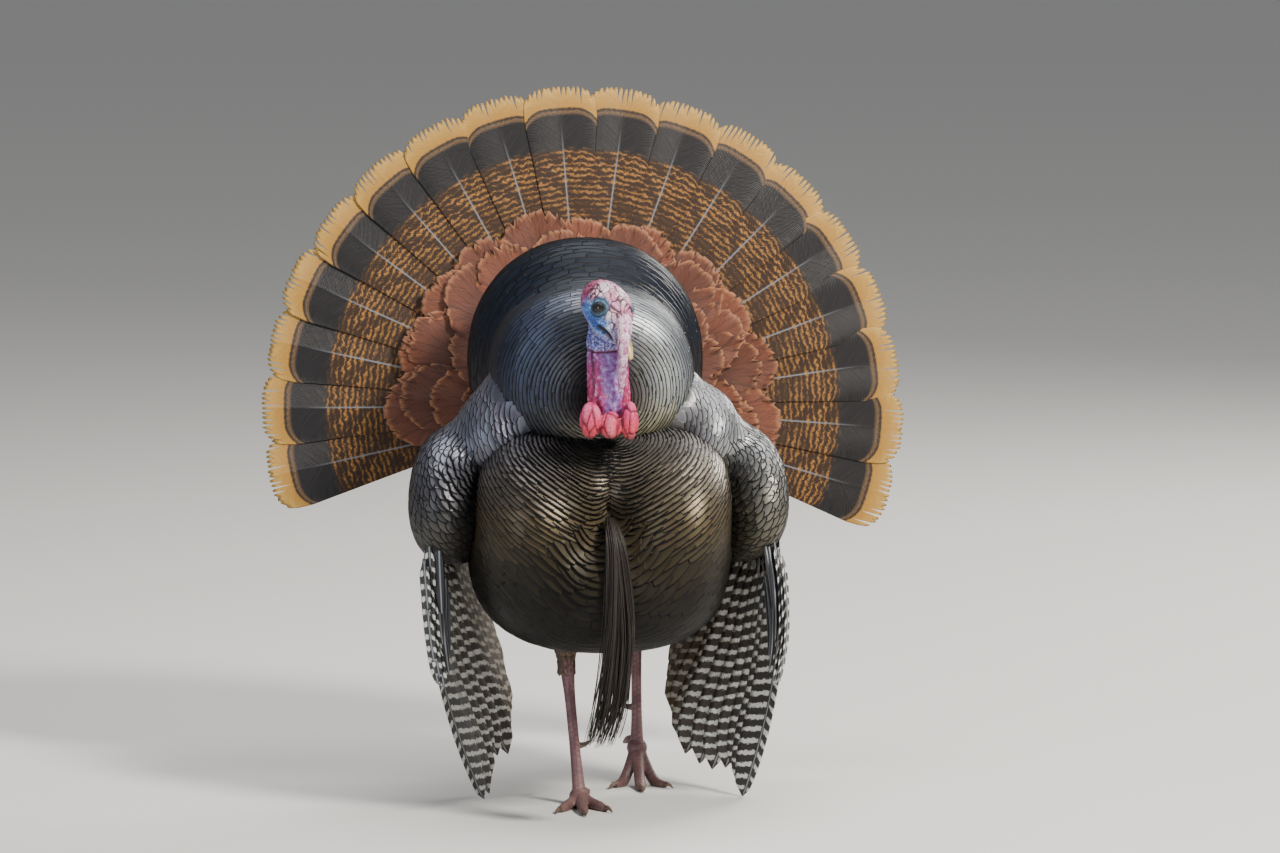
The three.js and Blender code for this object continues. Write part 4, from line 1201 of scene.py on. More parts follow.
def ball(name, at, radii):
    bpy.ops.object.select_all(action="DESELECT")
    bpy.ops.mesh.primitive_uv_sphere_add(segments=36, ring_count=24, radius=0.001, location=toFrame(at), scale=radii)
    piece = bpy.context.object
    piece.name = name
    return piece


def oneMesh(pieces, name, voxel, smoothing, drawn=0.0):
    selectOnly(*pieces)
    bpy.ops.object.transform_apply(location=True, rotation=True, scale=True)
    bpy.ops.object.join()
    piece = bpy.context.object
    piece.name = name
    piece.data.materials.clear()
    piece.data.remesh_voxel_size = voxel
    bpy.ops.object.voxel_remesh()
    if smoothing:
        soft = piece.modifiers.new("soft", "SMOOTH")
        soft.factor, soft.iterations = 0.5, smoothing
        bpy.ops.object.modifier_apply(modifier="soft")
    if drawn:
        shrink = piece.modifiers.new("drawnIn", "DISPLACE")
        shrink.strength, shrink.mid_level = -drawn, 0.0
        bpy.ops.object.modifier_apply(modifier="drawnIn")
    return piece


def copiesOf(nodes):
    copies = []
    for node in nodes:
        source = bpy.data.objects[node]
        copy = source.copy()
        copy.data = source.data.copy()
        bpy.context.collection.objects.link(copy)
        copy.hide_viewport = copy.hide_render = False
        copies.append(copy)
    return copies


def meshPoints(piece):
    points = np.empty(len(piece.data.vertices) * 3, np.float32)
    piece.data.vertices.foreach_get("co", points)
    normals = np.empty(len(piece.data.vertices) * 3, np.float32)
    piece.data.vertices.foreach_get("normal", normals)
    return points.reshape(-1, 3).astype(float) * 1000 - planShift, normals.reshape(-1, 3).astype(float)


def setPoints(piece, points):
    piece.data.vertices.foreach_set("co", toFrame(points).astype(np.float32).ravel())
    piece.data.update()


def setColours(piece, colours):
    layer = piece.data.color_attributes.new(name="tint", type="FLOAT_COLOR", domain="POINT")
    full = np.concatenate((np.clip(colours, 0, 1), np.ones((len(colours), 1))), 1)
    layer.data.foreach_set("color", full.astype(np.float32).ravel())


# How deep in a cell a point is, and how near the crease between cells, for cells about `size` mm across
def cells(points, size, seed=0.0, stretch=(1, 1, 1), warp=0.25):
    near, crease = np.empty(len(points)), np.empty(len(points))
    scaled = points / size / np.array(stretch) + seed
    for index, p in enumerate(scaled):
        if warp:
            shift = noise.noise_vector(Vector(p) * 0.7) * warp
            p = Vector(p) + shift
        distances = noise.voronoi(Vector(p))[0]
        near[index] = distances[0]
        crease[index] = distances[1] - distances[0]
    return near, crease


def bell(value, centre, width):
    return np.exp(-(((value - centre) / width) ** 2))


headShape = {
    "skull": [  # place along, half width, top, bottom
        (44, 2, 1.0, -4), (41, 9, 6.6, -11), (34, 16.5, 15.4, -18.7), (20, 23.6, 24.2, -25.3), (2, 25.8, 27.5, -26.4),
        (-14.5, 23, 24.8, -25.3), (-27.5, 17.6, 16.5, -22), (-38.5, 10, 5.5, -15.4), (-41, 6, 1.5, -11),
    ],
    "neck": [(-6, -176, 572), (-5, -198, 548), (-4, -209, 515), (-3, -210, 480), (-3, -196, 448)],
    "neckRadii": [(14, 15), (20, 19), (22.5, 21), (23, 21), (26, 20)],
    "wattles": [((-25, -236, 461), (12.5, 13, 21)), ((18, -236, 460), (10.5, 12, 22)), ((-3, -239, 456), (13, 10, 15.5))],
    "snoodRadii": [(7.5, 7), (8.8, 7.5), (6.4, 6), (4.8, 4.4), (2.6, 2.6)], "snoodLength": 84,
    "gape": ((19.5, -22, -6.5), (17.5, -29, -6.0), (13.5, -35, -8.0), (9.5, -38, -12.5)),
    "ear": (23.6, 14, -4),
}
rootX, rootY, rootZ = onHead((-1, -29, 14))
snoodPath = [
    (rootX + out, rootY - front, rootZ - share * headShape["snoodLength"])
    for share, out, front in ((-0.02, 0, -2), (0.1, 1, 9), (0.35, -1, 19), (0.71, -2, 14), (1, -3, 6))
]
headShape["snood"] = snoodPath


def toHead(points):
    return (points - np.array(headPlan["at"])) @ headBasis


def nearestOn(points, path, steps=70):
    line = curveThrough(path, np.linspace(0, 1, steps))
    gaps = np.linalg.norm(points[:, None] - line[None], axis=-1)
    best = gaps.argmin(1)
    return gaps[np.arange(len(points)), best], best / (steps - 1), points - line[best]


def makeHeadFlesh():
    shape = headShape
    skull = curveThrough(shape["skull"], np.linspace(0, 1, 70))
    turn = np.arange(56) * 2 * np.pi / 56
    middle, high = (skull[:, 2] + skull[:, 3]) / 2, (skull[:, 2] - skull[:, 3]) / 2
    local = np.stack((skull[:, 1, None] * np.cos(turn), skull[:, 0, None] + 0 * turn, middle[:, None] + high[:, None] * np.sin(turn)), -1)
    pieces = [solidFromRings("skullFlesh", onHead(local))]
    pieces.append(roundAlong("neckFlesh", shape["neck"], shape["neckRadii"]))
    pieces.append(roundAlong("snoodFlesh", shape["snood"], shape["snoodRadii"], rows=50, around=28))
    for index, (at, radii) in enumerate(shape["wattles"]):
        pieces.append(ball(f"wattleFlesh{index}", at, radii))
    return oneMesh(pieces, "headFlesh", skinPlan["headVoxel"], 5)


# Folds, lids and caruncles, and the colour of each place on the bare head and neck
def shapeHead(piece):
    points, normals = meshPoints(piece)
    x, y, z = toHead(points).T
    ax = np.abs(x)
    snoodGap, snoodAlong, snoodOff = nearestOn(points, headShape["snood"])
    snoodSize = np.interp(snoodAlong, np.linspace(0, 1, 5), [r[0] for r in headShape["snoodRadii"]])
    onSnood = smooth(3.0, 0.6, snoodGap - snoodSize) * smooth(0.02, 0.14, snoodAlong)
    neckGap, neckAlong, neckOff = nearestOn(points, headShape["neck"])
    level = np.sqrt((x / 25) ** 2 + (y / 42) ** 2 + (z / 26) ** 2)
    onSkull = smooth(1.18, 1.04, level) * (1 - onSnood)
    onWattle = np.zeros(len(points))
    for at, radii in headShape["wattles"]:
        away = np.linalg.norm((points - np.array(at)) / np.array(radii), axis=-1)
        onWattle = np.maximum(onWattle, smooth(1.16, 1.02, away))
    onWattle *= 1 - onSnood
    onNeck = np.clip(1 - onSkull - onSnood - onWattle, 0, 1)
    facing = np.arctan2(neckOff[:, 0], -neckOff[:, 1])  # 0 at the throat, + to the bird's left

    eyeX, eyeY, eyeZ = headPlan["eye"]
    out = np.array((0.93, -0.12, 0.34))
    out /= np.linalg.norm(out)
    eyeOff = np.stack((ax - eyeX, y - eyeY, z - eyeZ), -1)
    eyeHigh = eyeOff @ out
    eyeAway = np.linalg.norm(eyeOff - eyeHigh[:, None] * out, axis=-1)
    atEye = smooth(1.0, 0.0, (eyeAway - 5.2) / 0.9) * (eyeHigh > -2) * onSkull

    fine, fineCrease = cells(points, 2.3, 3.0)
    mid, midCrease = cells(points, 5.2, 8.0, (1.25, 1, 0.8), 0.5)
    plate, plateCrease = cells(points, 11.0, 15.0, (0.8, 1, 1.4), 0.7)
    big, bigCrease = cells(points, 10.5, 1.0, (0.8, 1, 1.3), 0.5)
    ripple = noiseAt(points, 6.0, 4.0)
    broad = noiseAt(points, 17.0, 7.0)

    crown = smooth(2, 12, z + 0.3 * np.clip(-y - 18, 0, 30)) * smooth(10.5, 13.0, eyeAway) * onSkull
    wrinkle = np.maximum(smooth(0.11, 0.03, plateCrease), 0.3 * smooth(0.10, 0.02, midCrease)) * crown
    fineFurrow = smooth(0.13, 0.02, fineCrease)
    move = -1.5 * wrinkle - 0.22 * fineFurrow * onSkull + 0.5 * ripple * crown + 0.2 * (0.5 - plate) * crown
    move += onSkull * (1.3 * bell(eyeAway, 13.2, 2.0) * smooth(-6, 4, z) - 1.1 * bell(eyeAway, 10.2, 0.9))
    move -= 3.2 * atEye
    cheek = bell(y, -14, 11) * bell(z, -12, 8) * smooth(10, 17, ax) * onSkull
    move += 1.4 * cheek
    line = curveThrough(headShape["gape"], np.linspace(0, 1, 30))
    mirrored = np.stack((ax, y, z), -1)
    gapeGap = np.linalg.norm(mirrored[:, None] - line[None], axis=-1).min(1)
    atGape = smooth(4.2, 2.2, gapeGap)
    move += -3.2 * atGape + 1.2 * bell(gapeGap, 5.6, 1.3)
    earGap = np.linalg.norm(mirrored - np.array(headShape["ear"]), axis=-1)
    move += -2.2 * smooth(3.4, 1.2, earGap) + 0.6 * bell(earGap, 4.6, 1.0)
    brow = bell(eyeAway, 10.0, 2.6) * smooth(2, 9, z - eyeZ + 4) * onSkull
    move += 0.7 * brow

    folds = np.sin(facing * 13 + 2.6 * noiseAt(points, 14, 2.0) + 1.5 * np.sin(neckAlong * 9))
    sideFold = smooth(0.35, 1.0, np.abs(facing))
    move += onNeck * (sideFold * (1.5 * folds + 1.5 * (0.45 - mid)) + 0.4 * folds * (1 - sideFold) - 0.3 * fineFurrow)
    height = points[:, 2] + 1.6 * ripple
    jowl = smooth(536, 540, height) * onNeck * smooth(2.4, 1.6, np.abs(facing))
    chin = bell(height, 536.5, 1.5) * onNeck * smooth(1.9, 1.2, np.abs(facing))
    move += 1.5 * jowl * smooth(556, 544, height) - 1.5 * chin
    move += onNeck * 1.2 * smooth(0.55, 0.8, neckAlong) * (0.5 - big)
    lobe, lobeCrease = cells(points, 19.0, 6.0, (0.62, 1, 1.9), 0.3)
    furrow = smooth(0.14, 0.02, lobeCrease)
    move += onWattle * (-1.9 * furrow + 1.4 * (0.5 - lobe) - 0.3 * smooth(0.10, 0.02, bigCrease) - 0.16 * fineFurrow)
    ring = np.sin(snoodAlong * headShape["snoodLength"] * 1.35 + 2.2 * ripple)
    move += onSnood * (0.34 * ring - 0.5 * smooth(0.14, 0.03, midCrease) - 0.25 * fineFurrow)
    hidden = smooth(0.84, 0.93, neckAlong) * (neckGap > 8)
    hairy = (onSkull * smooth(6, 18, y) + onNeck * smooth(0.78, 0.6, neckAlong) * (neckAlong > 0.05)) * (eyeAway > 15)
    wanted = (chance.random(len(points)) < hairy * (0.35 + 0.65 * (np.abs(facing) > 0.6))) & (hidden < 0.1)
    makeBristles(points + normals * move[:, None], normals, wanted)
    points = points + normals * move[:, None]
    setPoints(piece, points)

    tone = lambda *colour: np.array(colour)
    speckle = noiseAt(points, 1.9, 11.0)[:, None]
    flush = smooth(-0.25, 0.35, broad)[:, None]
    put = lambda base, mask, colour: mix(base, colour, np.clip(mask, 0, 1)[:, None])
    blueDark, blue, blueLight = tone(0.015, 0.05, 0.24), tone(0.055, 0.19, 0.56), tone(0.34, 0.54, 0.82)
    spread3 = noiseAt(points, 3.6, 17.0)[:, None]
    colour = mix(tone(0.66, 0.34, 0.46), tone(0.84, 0.73, 0.77), flush)
    front = y + 3.0 * ripple
    low = smooth(13, 3, z + 2.5 * ripple) * smooth(-37, -26, front) * onSkull
    colour = put(colour, low, mix(blue, blueLight, np.clip(0.30 + 1.5 * speckle + spread3, 0, 1)))
    rear = smooth(9, 21, front) * smooth(27, 12, z)
    colour = put(colour, rear * onSkull * 0.95, mix(tone(0.36, 0.045, 0.12), tone(0.58, 0.20, 0.36), np.clip(0.5 + speckle + spread3, 0, 1)))
    colour = put(colour, smooth(-24, -33, front) * smooth(20, 8, z) * onSkull * 0.6, mix(tone(0.42, 0.56, 0.84), tone(0.80, 0.80, 0.88), flush))
    jaw = smooth(-10, -14, z) * onSkull
    colour = put(colour, jaw * 0.75, mix(tone(0.10, 0.20, 0.58), tone(0.74, 0.74, 0.88), np.clip(0.5 + 2.2 * speckle + spread3, 0, 1)))
    nearEye = smooth(14.0, 11.0, eyeAway) * onSkull
    colour = put(colour, nearEye * 0.92, mix(tone(0.055, 0.17, 0.33), tone(0.26, 0.46, 0.60), np.clip(0.4 + 1.6 * speckle + spread3, 0, 1)))
    under = bell(y, -13, 10) * bell(z, -5, 6) * smooth(9, 15, ax) * onSkull
    colour = put(colour, under, mix(blueDark, blue, np.clip(0.6 + 1.4 * speckle, 0, 1)))
    # Painted shade in the groove round the eye and where the skin meets the eyeball.
    colour = put(colour, bell(eyeAway, 10.2, 0.8) * onSkull * 0.75, tone(0.02, 0.035, 0.07))
    colour = put(colour, smooth(8.4, 6.4, eyeAway) * onSkull * (eyeHigh > 0), tone(0.02, 0.024, 0.035))
    violet, lavender, magenta = tone(0.34, 0.13, 0.42), tone(0.40, 0.29, 0.64), tone(0.55, 0.075, 0.24)
    around = facing + 0.30 * noiseAt(points, 9.0, 31.0) + 0.22 * noiseAt(points, 3.4, 33.0)
    throat = smooth(0.78, 0.22, np.abs(around - 0.12)) * 0.9
    sides = mix(violet, magenta, smooth(0.25, 0.62, neckAlong)[:, None])
    sides = put(sides, smooth(0.5, 0.8, neckAlong), tone(0.62, 0.09, 0.23))
    neckTone = mix(sides, mix(tone(0.56, 0.32, 0.52), lavender, smooth(0.25, 0.45, neckAlong)[:, None]), throat[:, None])
    # The crests of the side folds turn blue-white: partly the skin's own colour, partly painted highlight.
    neckTone = mix(neckTone, tone(0.42, 0.50, 0.80), (sideFold * smooth(0.3, 0.9, folds) * smooth(0.5, 0.25, neckAlong) * 0.7)[:, None])
    blotch = noiseAt(points, 4.4, 35.0)
    neckTone = mix(neckTone, tone(0.66, 0.62, 0.82), (smooth(0.15, 0.5, blotch) * 0.55)[:, None])
    neckTone = mix(neckTone, tone(0.26, 0.03, 0.16), (smooth(-0.1, -0.5, blotch) * 0.55)[:, None])
    # Painted shade in the troughs of the side folds.
    neckTone = mix(neckTone, tone(0.10, 0.015, 0.09), (sideFold * smooth(-0.35, -0.85, folds) * 0.6)[:, None])
    neckTone = mix(neckTone, mix(tone(0.07, 0.16, 0.50), tone(0.66, 0.66, 0.86), np.clip(0.4 + 2.0 * speckle + spread3, 0, 1)), (jowl * 0.85)[:, None])
    colour = put(colour, onNeck, neckTone)
    # Painted shade in the crease where the chin meets the throat.
    colour = put(colour, chin * 0.9, tone(0.16, 0.012, 0.035))
    lower = smooth(478, 444, points[:, 2])
    wattleTone = mix(tone(0.58, 0.050, 0.19), tone(0.58, 0.040, 0.065), lower[:, None])
    # Painted highlight, lighter pink, on the tops of the wattles' lobes.
    wattleTone = mix(wattleTone, tone(0.84, 0.36, 0.46), (smooth(0.50, 0.12, lobe) * 0.35)[:, None])
    colour = put(colour, onWattle, wattleTone)
    streaks = noiseAt(points * (1, 1, 0.32), 2.6, 41.0)[:, None]
    snoodTone = mix(tone(0.84, 0.70, 0.77), tone(0.44, 0.13, 0.32), np.clip(0.22 + 0.9 * speckle + 1.2 * streaks + 0.45 * snoodAlong[:, None] - 0.12, 0, 1))
    colour = put(colour, onSnood, snoodTone)
    colour = colour * (1 + 0.22 * speckle)
    # Painted shade in the furrows: the forehead plates, the crown's wrinkles and the fine furrows all over.
    colour = put(colour, smooth(0.14, 0.05, plateCrease) * crown * 0.6, tone(0.22, 0.05, 0.09))
    colour = put(colour, wrinkle * 0.95, tone(0.10, 0.02, 0.04))
    colour = put(colour, fineFurrow * onSkull * 0.5, tone(0.12, 0.08, 0.20))
    colour = put(colour, fineFurrow * (onNeck + onSnood) * 0.4, tone(0.22, 0.04, 0.14))
    # Painted shade in the wattles' furrows and creases.
    colour = put(colour, onWattle * furrow * 0.85, tone(0.20, 0.012, 0.035))
    colour = put(colour, onWattle * smooth(0.10, 0.02, bigCrease) * 0.4, tone(0.30, 0.015, 0.06))
    # Painted shade in the gape's groove and in the ear opening.
    colour = put(colour, atGape, tone(0.030, 0.022, 0.020))
    colour = put(colour, smooth(3.4, 1.4, earGap), tone(0.05, 0.02, 0.03))
    dots = smooth(0.20, 0.10, fine) * (noiseAt(points, 3.1, 21.0) > 0.04)
    colour = put(colour, dots * np.clip(onNeck + onSkull * smooth(4, 16, y), 0, 1) * 0.85, tone(0.02, 0.012, 0.02))
    # Dark where the neck goes in among the feathers: partly the dark skin under them, partly painted shade.
    colour = put(colour, hidden, tone(0.06, 0.05, 0.05))
    rich = put(colour ** 1.4, (onWattle > 0.5) * 0.7, colour)
    setColours(piece, rich)


# A lid is a thin folded ring that holds the eyeball in
lidPlan = {"wide": 6.5, "high": 3.5, "tilt": 42}


def eyeFrame(side):
    eye = np.array(headPlan["eye"], float) * (side, 1, 1)
    out = np.array((0.93 * side, -0.12, 0.34))
    out /= np.linalg.norm(out)
    ahead = np.array((0, -1.0, 0)) + out * out[1]
    ahead /= np.linalg.norm(ahead)
    return eye, out, ahead, np.cross(out, ahead) * side


def makeLid(side):
    eye, out, ahead, up = eyeFrame(side)
    size = headPlan["eyeRadius"]
    t = np.linspace(0, 2 * np.pi, 73)[:-1]
    wide, high = lidPlan["wide"] * np.cos(t), lidPlan["high"] * np.sin(t) * np.where(np.sin(t) < 0, 0.9, 1.05)
    tilt = math.radians(-lidPlan["tilt"])
    a, b = wide * math.cos(tilt) - high * math.sin(tilt), wide * math.sin(tilt) + high * math.cos(tilt)
    opening = np.hypot(a, b)
    away = np.stack((a, b), -1) / opening[:, None]
    rise = lambda far: np.sqrt(np.clip(size ** 2 - far ** 2, 0.5, None))
    profile = (
        (0.0, -0.9), (-0.25, 0.15), (0.15, 0.62), (0.9, 0.85), (1.6, 0.35), (2.2, 0.75), (3.1, 0.3), (3.8, 0.6),
        (4.8, 0.0), (5.8, -1.2), (5.0, -3.4), (1.5, -3.6),
    )
    pleats = 0.16 * np.sin(t * 17) + 0.14 * np.sin(t * 29 + 1) + 0.25 * np.sin(t * 3 + 2)
    rows = []
    for far, lift in profile:
        lift = lift + pleats * smooth(0.5, 2.5, far) * (lift > -1)
        reach = opening + far
        height = rise(np.minimum(reach, 5.6)) + lift - 0.22 * np.clip(reach - 5.6, 0, None)
        rows.append(eye + out * height[:, None] + ahead * (away[:, :1] * reach[:, None]) + up * (away[:, 1:] * reach[:, None]))
    rings = onHead(np.array(rows))
    count, around = rings.shape[:2]
    index = np.arange(count * around).reshape(count, around)
    right, below = np.roll(index, -1, axis=1), np.roll(index, -1, axis=0)
    corner = np.roll(right, -1, axis=0)
    quads = np.stack((index, right, corner, below), -1).reshape(-1, 4)
    mesh = bpy.data.meshes.new("lid")
    mesh.from_pydata(toFrame(rings.reshape(-1, 3)).tolist(), [], quads.tolist())
    piece = bpy.data.objects.new("lid", mesh)
    bpy.context.collection.objects.link(piece)
    selectOnly(piece)
    bpy.ops.object.mode_set(mode="EDIT")
    bpy.ops.mesh.select_all(action="SELECT")
    bpy.ops.mesh.normals_make_consistent(inside=False)
    bpy.ops.object.mode_set(mode="OBJECT")
    tones = [(0.008, 0.008, 0.010)] * 4 + [(0.010, 0.012, 0.016), (0.024, 0.040, 0.056), (0.015, 0.026, 0.040)] + [(0.050, 0.100, 0.150)] * 5
    points, _ = meshPoints(piece)
    mottled = 1 + 0.5 * noiseAt(points, 1.5, 4.0)[:, None]
    setColours(piece, np.repeat(np.array(tones), around, axis=0) * mottled)
    return piece


legPlan = {
    "Right": {"hip": (-38, 8, 232), "hock": (-37, -8, 163), "ball": (-25, -52, 10), "heel": 13, "spread": 19},
    "Left": {"hip": (52, 60, 232), "hock": (53, 118, 186), "ball": (54, 116, 41), "heel": 36, "spread": 25},
    "toes": ((1.35, 60), (0, 80), (-1.3, 62)), "rest": 4.6,
    "shankRadii": [(9.5, 12), (8.5, 10.5), (6.2, 7.6), (6.2, 7.4), (8, 8)],
    "toeRadii": [(9, 8), (7.2, 6.4), (6.4, 5.6), (6.4, 5.8), (4, 3.8)],
}


def makeLegFlesh():
    pieces = []
    for side, name in ((-1, "Right"), (1, "Left")):
        leg = legPlan[name]
        hock, foot = np.array(leg["hock"], float), np.array(leg["ball"], float)
        path = [mix(hock, foot, share) for share in (-0.1, 0.05, 0.3, 0.7, 1)]
        pieces.append(roundAlong("shank" + name, path, legPlan["shankRadii"], rows=70, around=28))
        pieces.append(ball("ball" + name, foot, (12, 12, 11)))
        x, y, z = foot
        hind = [(x, y + 4, z + 8), (x - side * 8, y + 16, z + leg["heel"] * 0.2), (x - side * 13, y + 30, z + 2)]
        pieces.append(roundAlong("hind" + name, hind, [(6, 6), (5, 5), (2, 2)], rows=24, around=20))
        for turn, length in legPlan["toes"]:
            rest = legPlan["rest"]
            angle = math.radians(leg["spread"] * turn * -side)
            flat = math.sqrt(length ** 2 - max(0, z - rest - 6) ** 2)
            at = lambda share, high: (x + math.sin(angle) * flat * share, y - math.cos(angle) * flat * share, high)
            lift = lambda share: rest + (z - rest) * max(0, 1 - share / 0.62) ** 1.1
            toe = [at(0, z), at(0.3, lift(0.3)), at(0.65, lift(0.65)), at(1, rest * 0.72)]
            radii = curveThrough(legPlan["toeRadii"], np.linspace(0, 1, 24))
            pieces.append(roundAlong("toe" + name, toe, radii, rows=40, around=20))
    return oneMesh(pieces, "legFlesh", skinPlan["legVoxel"], 3)


# Scutes down the front of each shank and over each toe, and small round scales elsewhere
def shapeLegs(piece):
    points, normals = meshPoints(piece)
    move, groove = np.zeros(len(points)), np.zeros(len(points))
    pebble, pebbleCrease = cells(points, 2.6, 5.0, warp=0.1)
    for name in ("Right", "Left"):
        leg = legPlan[name]
        hock, foot = np.array(leg["hock"], float), np.array(leg["ball"], float)
        own = (points[:, 0] > 8) == (name == "Left")
        axis = foot - hock
        length = np.linalg.norm(axis)
        along = (points - hock) @ (axis / length)
        off = points - hock - along[:, None] * (axis / length)
        facing = np.arctan2(off[:, 0], -off[:, 1])
        onShank = own * smooth(length + 4, length - 6, along) * smooth(-12, -2, along)
        front = smooth(1.35, 1.15, np.abs(facing)) * onShank
        row = along / 6.2 + 0.5 * (facing > 0) + 0.12 * np.cos(facing * 2)
        edge = np.abs(row - np.round(row)) * 6.2
        line = np.maximum(smooth(0.9, 0.2, edge), smooth(0.10, 0.02, np.abs(facing)))
        plate = np.cos((row - np.round(row)) * np.pi)
        groove = np.maximum(groove, line * front)
        move += front * (0.35 * plate - 0.55 * line)
        groove = np.maximum(groove, onShank * (1 - front) * smooth(0.16, 0.05, pebbleCrease) * 0.8)
        onFoot = own * (1 - onShank)
        far = np.hypot(points[:, 0] - foot[0], points[:, 1] - foot[1])
        top = smooth(0.25, 0.7, normals[:, 2]) * smooth(12, 17, far) * onFoot
        row = far / 4.4
        edge = np.abs(row - np.round(row)) * 4.4
        line = smooth(0.8, 0.2, edge)
        groove = np.maximum(groove, line * top)
        move += top * (0.3 * np.cos((row - np.round(row)) * np.pi) - 0.5 * line)
        groove = np.maximum(groove, onFoot * (1 - top) * smooth(0.16, 0.05, pebbleCrease) * 0.8)
    move -= 0.25 * smooth(0.16, 0.05, pebbleCrease) * (groove < 0.5)
    move *= smooth(0.4, 2.5, points[:, 2])
    moved = points + normals * move[:, None]
    moved[:, 2] = np.maximum(moved[:, 2], 0.05)
    setPoints(piece, moved)
    broad = noiseAt(points, 18.0, 3.0)[:, None]
    colour = mix(np.array((0.155, 0.072, 0.088)), np.array((0.29, 0.145, 0.155)), np.clip(0.5 + 1.4 * broad, 0, 1))
    colour = mix(colour, np.array((0.115, 0.068, 0.058)), smooth(60, 6, points[:, 2])[:, None] * 0.75)
    colour = mix(colour, np.array((0.09, 0.045, 0.045)), (groove * 0.7)[:, None])
    setColours(piece, colour)


# Skin under the feathers: the feathers' colours at half strength, partly the dark down and partly painted shade in the
# gaps between feathers.
def mixedTint(points):
    colour = mix(backTint(points), breastTint(points), smooth(470, 420, points[:, 2])[:, None])
    return colour * 0.5


def makeSkinMaterial():
    material, n, shader = newMaterial("bareSkin", Roughness=0.5, Subsurface_Weight=0.10, Subsurface_Scale=0.004)
    shader.inputs["Subsurface Radius"].default_value = (1.0, 0.35, 0.25)
    place = n.add("ShaderNodeTexCoord").outputs["Object"]
    pores = n.add("ShaderNodeTexVoronoi", feature="F1")
    n.put(pores.inputs["Vector"], place)
    pores.inputs["Scale"].default_value = 1100.0
    mottle = n.noise(place, 420.0, 3.0, 0.6)
    scale = n.add("ShaderNodeVectorMath", operation="SCALE")
    n.put(scale.inputs[0], n.attribute("tint").outputs["Color"])
    n.put(scale.inputs["Scale"], n.range(mottle, 0.3, 0.7, 0.82, 1.16))
    n.put(shader.inputs["Base Color"], scale.outputs[0])
    n.put(shader.inputs["Roughness"], n.range(mottle, 0.3, 0.7, 0.40, 0.62))
    height = n.math("ADD", n.math("MULTIPLY", pores.outputs["Distance"], -0.6), mottle)
    n.put(shader.inputs["Normal"], n.bump(height, 0.0003, 0.6))
    return material


# Unwraps one part over its own shape, and moves the map into its share
def unwrapPart(piece, share):
    selectOnly(piece)
    bpy.ops.mesh.uv_texture_add()
    piece.data.uv_layers.active.name = "OFBake"
    bpy.ops.object.mode_set(mode="EDIT")
    bpy.ops.mesh.select_all(action="SELECT")
    bpy.ops.uv.smart_project(angle_limit=1.45, island_margin=0.003, scale_to_bounds=False)
    bpy.ops.object.mode_set(mode="OBJECT")
    layer = piece.data.uv_layers["OFBake"].uv
    uv = np.empty(len(layer) * 2, np.float32)
    layer.foreach_get("vector", uv)
    uv = uv.reshape(-1, 2)
    left, bottom, wide, high = share
    low, high2 = uv.min(0), uv.max(0)
    uv = np.clip((uv - low) / np.maximum(high2 - low, 1e-6), 0, 1) * (wide - 0.006, high - 0.006) + (left + 0.003, bottom + 0.003)
    layer.foreach_set("vector", uv.astype(np.float32).ravel())


def makeSkin():
    inside = [node for node in fleshNodes["covered"] if not node.startswith("alula")]
    body = oneMesh(copiesOf(inside), "bodyFlesh", skinPlan["bodyVoxel"], 6, skinPlan["drawnIn"])
    points, _ = meshPoints(body)
    setColours(body, mixedTint(points))
    head = makeHeadFlesh()
    shapeHead(head)
    say(f"head flesh, {len(head.data.polygons)} faces")
    legs = makeLegFlesh()
    shapeLegs(legs)
    say(f"leg flesh, {len(legs.data.polygons)} faces")
    lids = [makeLid(-1), makeLid(1)]
    unwrapPart(body, (0.0, 0.0, 0.33, 0.33))
    unwrapPart(legs, (0.34, 0.0, 0.55, 0.33))
    unwrapPart(lids[0], (0.90, 0.0, 0.10, 0.16))
    unwrapPart(lids[1], (0.90, 0.17, 0.10, 0.16))
    unwrapPart(head, (0.0, 0.34, 1.0, 0.66))
    say("skin unwrapped")
    sizes = [len(piece.data.polygons) for piece in (body, head, legs, *lids)]
    selectOnly(body, head, legs, *lids)
    bpy.ops.object.join()
    skin = bpy.context.object
    skin.name = "skin"
    bpy.ops.object.shade_smooth()
    skin.data.materials.clear()
    skin.data.materials.append(makeSkinMaterial())
    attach(skin, "root")
    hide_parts(*(node for group in fleshNodes.values() for node in group), "tail_coverts")
    say(f"skin, {len(skin.data.polygons)} faces")
    return skin, sizes


def makeEyes():
    material, n, shader = newMaterial("wetEye", Roughness=0.12, Coat_Weight=0.35, Coat_Roughness=0.02)
    n.put(shader.inputs["Base Color"], n.attribute("tint").outputs["Color"])
    for side, name in ((-1, "Right"), (1, "Left")):
        eye, out, ahead, up = eyeFrame(side)
        bpy.ops.object.select_all(action="DESELECT")
        facing = Vector(headBasis @ out).to_track_quat("Z", "Y").to_euler()
        size = headPlan["eyeRadius"] / 1000
        centre = toFrame(onHead(eye))
        bpy.ops.mesh.primitive_uv_sphere_add(segments=40, ring_count=32, radius=size, location=centre, rotation=facing)
        piece = bpy.context.object
        piece.name = "eyeball" + name
        bpy.ops.object.transform_apply(location=True, rotation=True, scale=True)
        bpy.ops.object.shade_smooth()
        points, _ = meshPoints(piece)
        off = (points - onHead(eye)) @ headBasis
        away = np.degrees(np.arccos(np.clip(off @ out / headPlan["eyeRadius"], -1, 1)))
        tones = [(0, (0.004, 0.004, 0.005)), (22, (0.004, 0.004, 0.005)), (25, (0.014, 0.006, 0.004)), (44, (0.022, 0.010, 0.006)), (50, (0.012, 0.009, 0.009)), (70, (0.03, 0.03, 0.035))]
        setColours(piece, ramp(away, tones))
        piece.data.materials.append(material)
        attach(piece, "root")
        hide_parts("eye_" + name.lower())


billPlan = {
    "billUpper": {"base": -33, "half": 7.8, "top": 5.2, "bottom": -6.2, "length": 38, "hook": 9.4},
    "billLower": {"base": -32, "half": 6.6, "top": -7.0, "bottom": -13.9, "length": 30.5, "hook": 3.3},
}


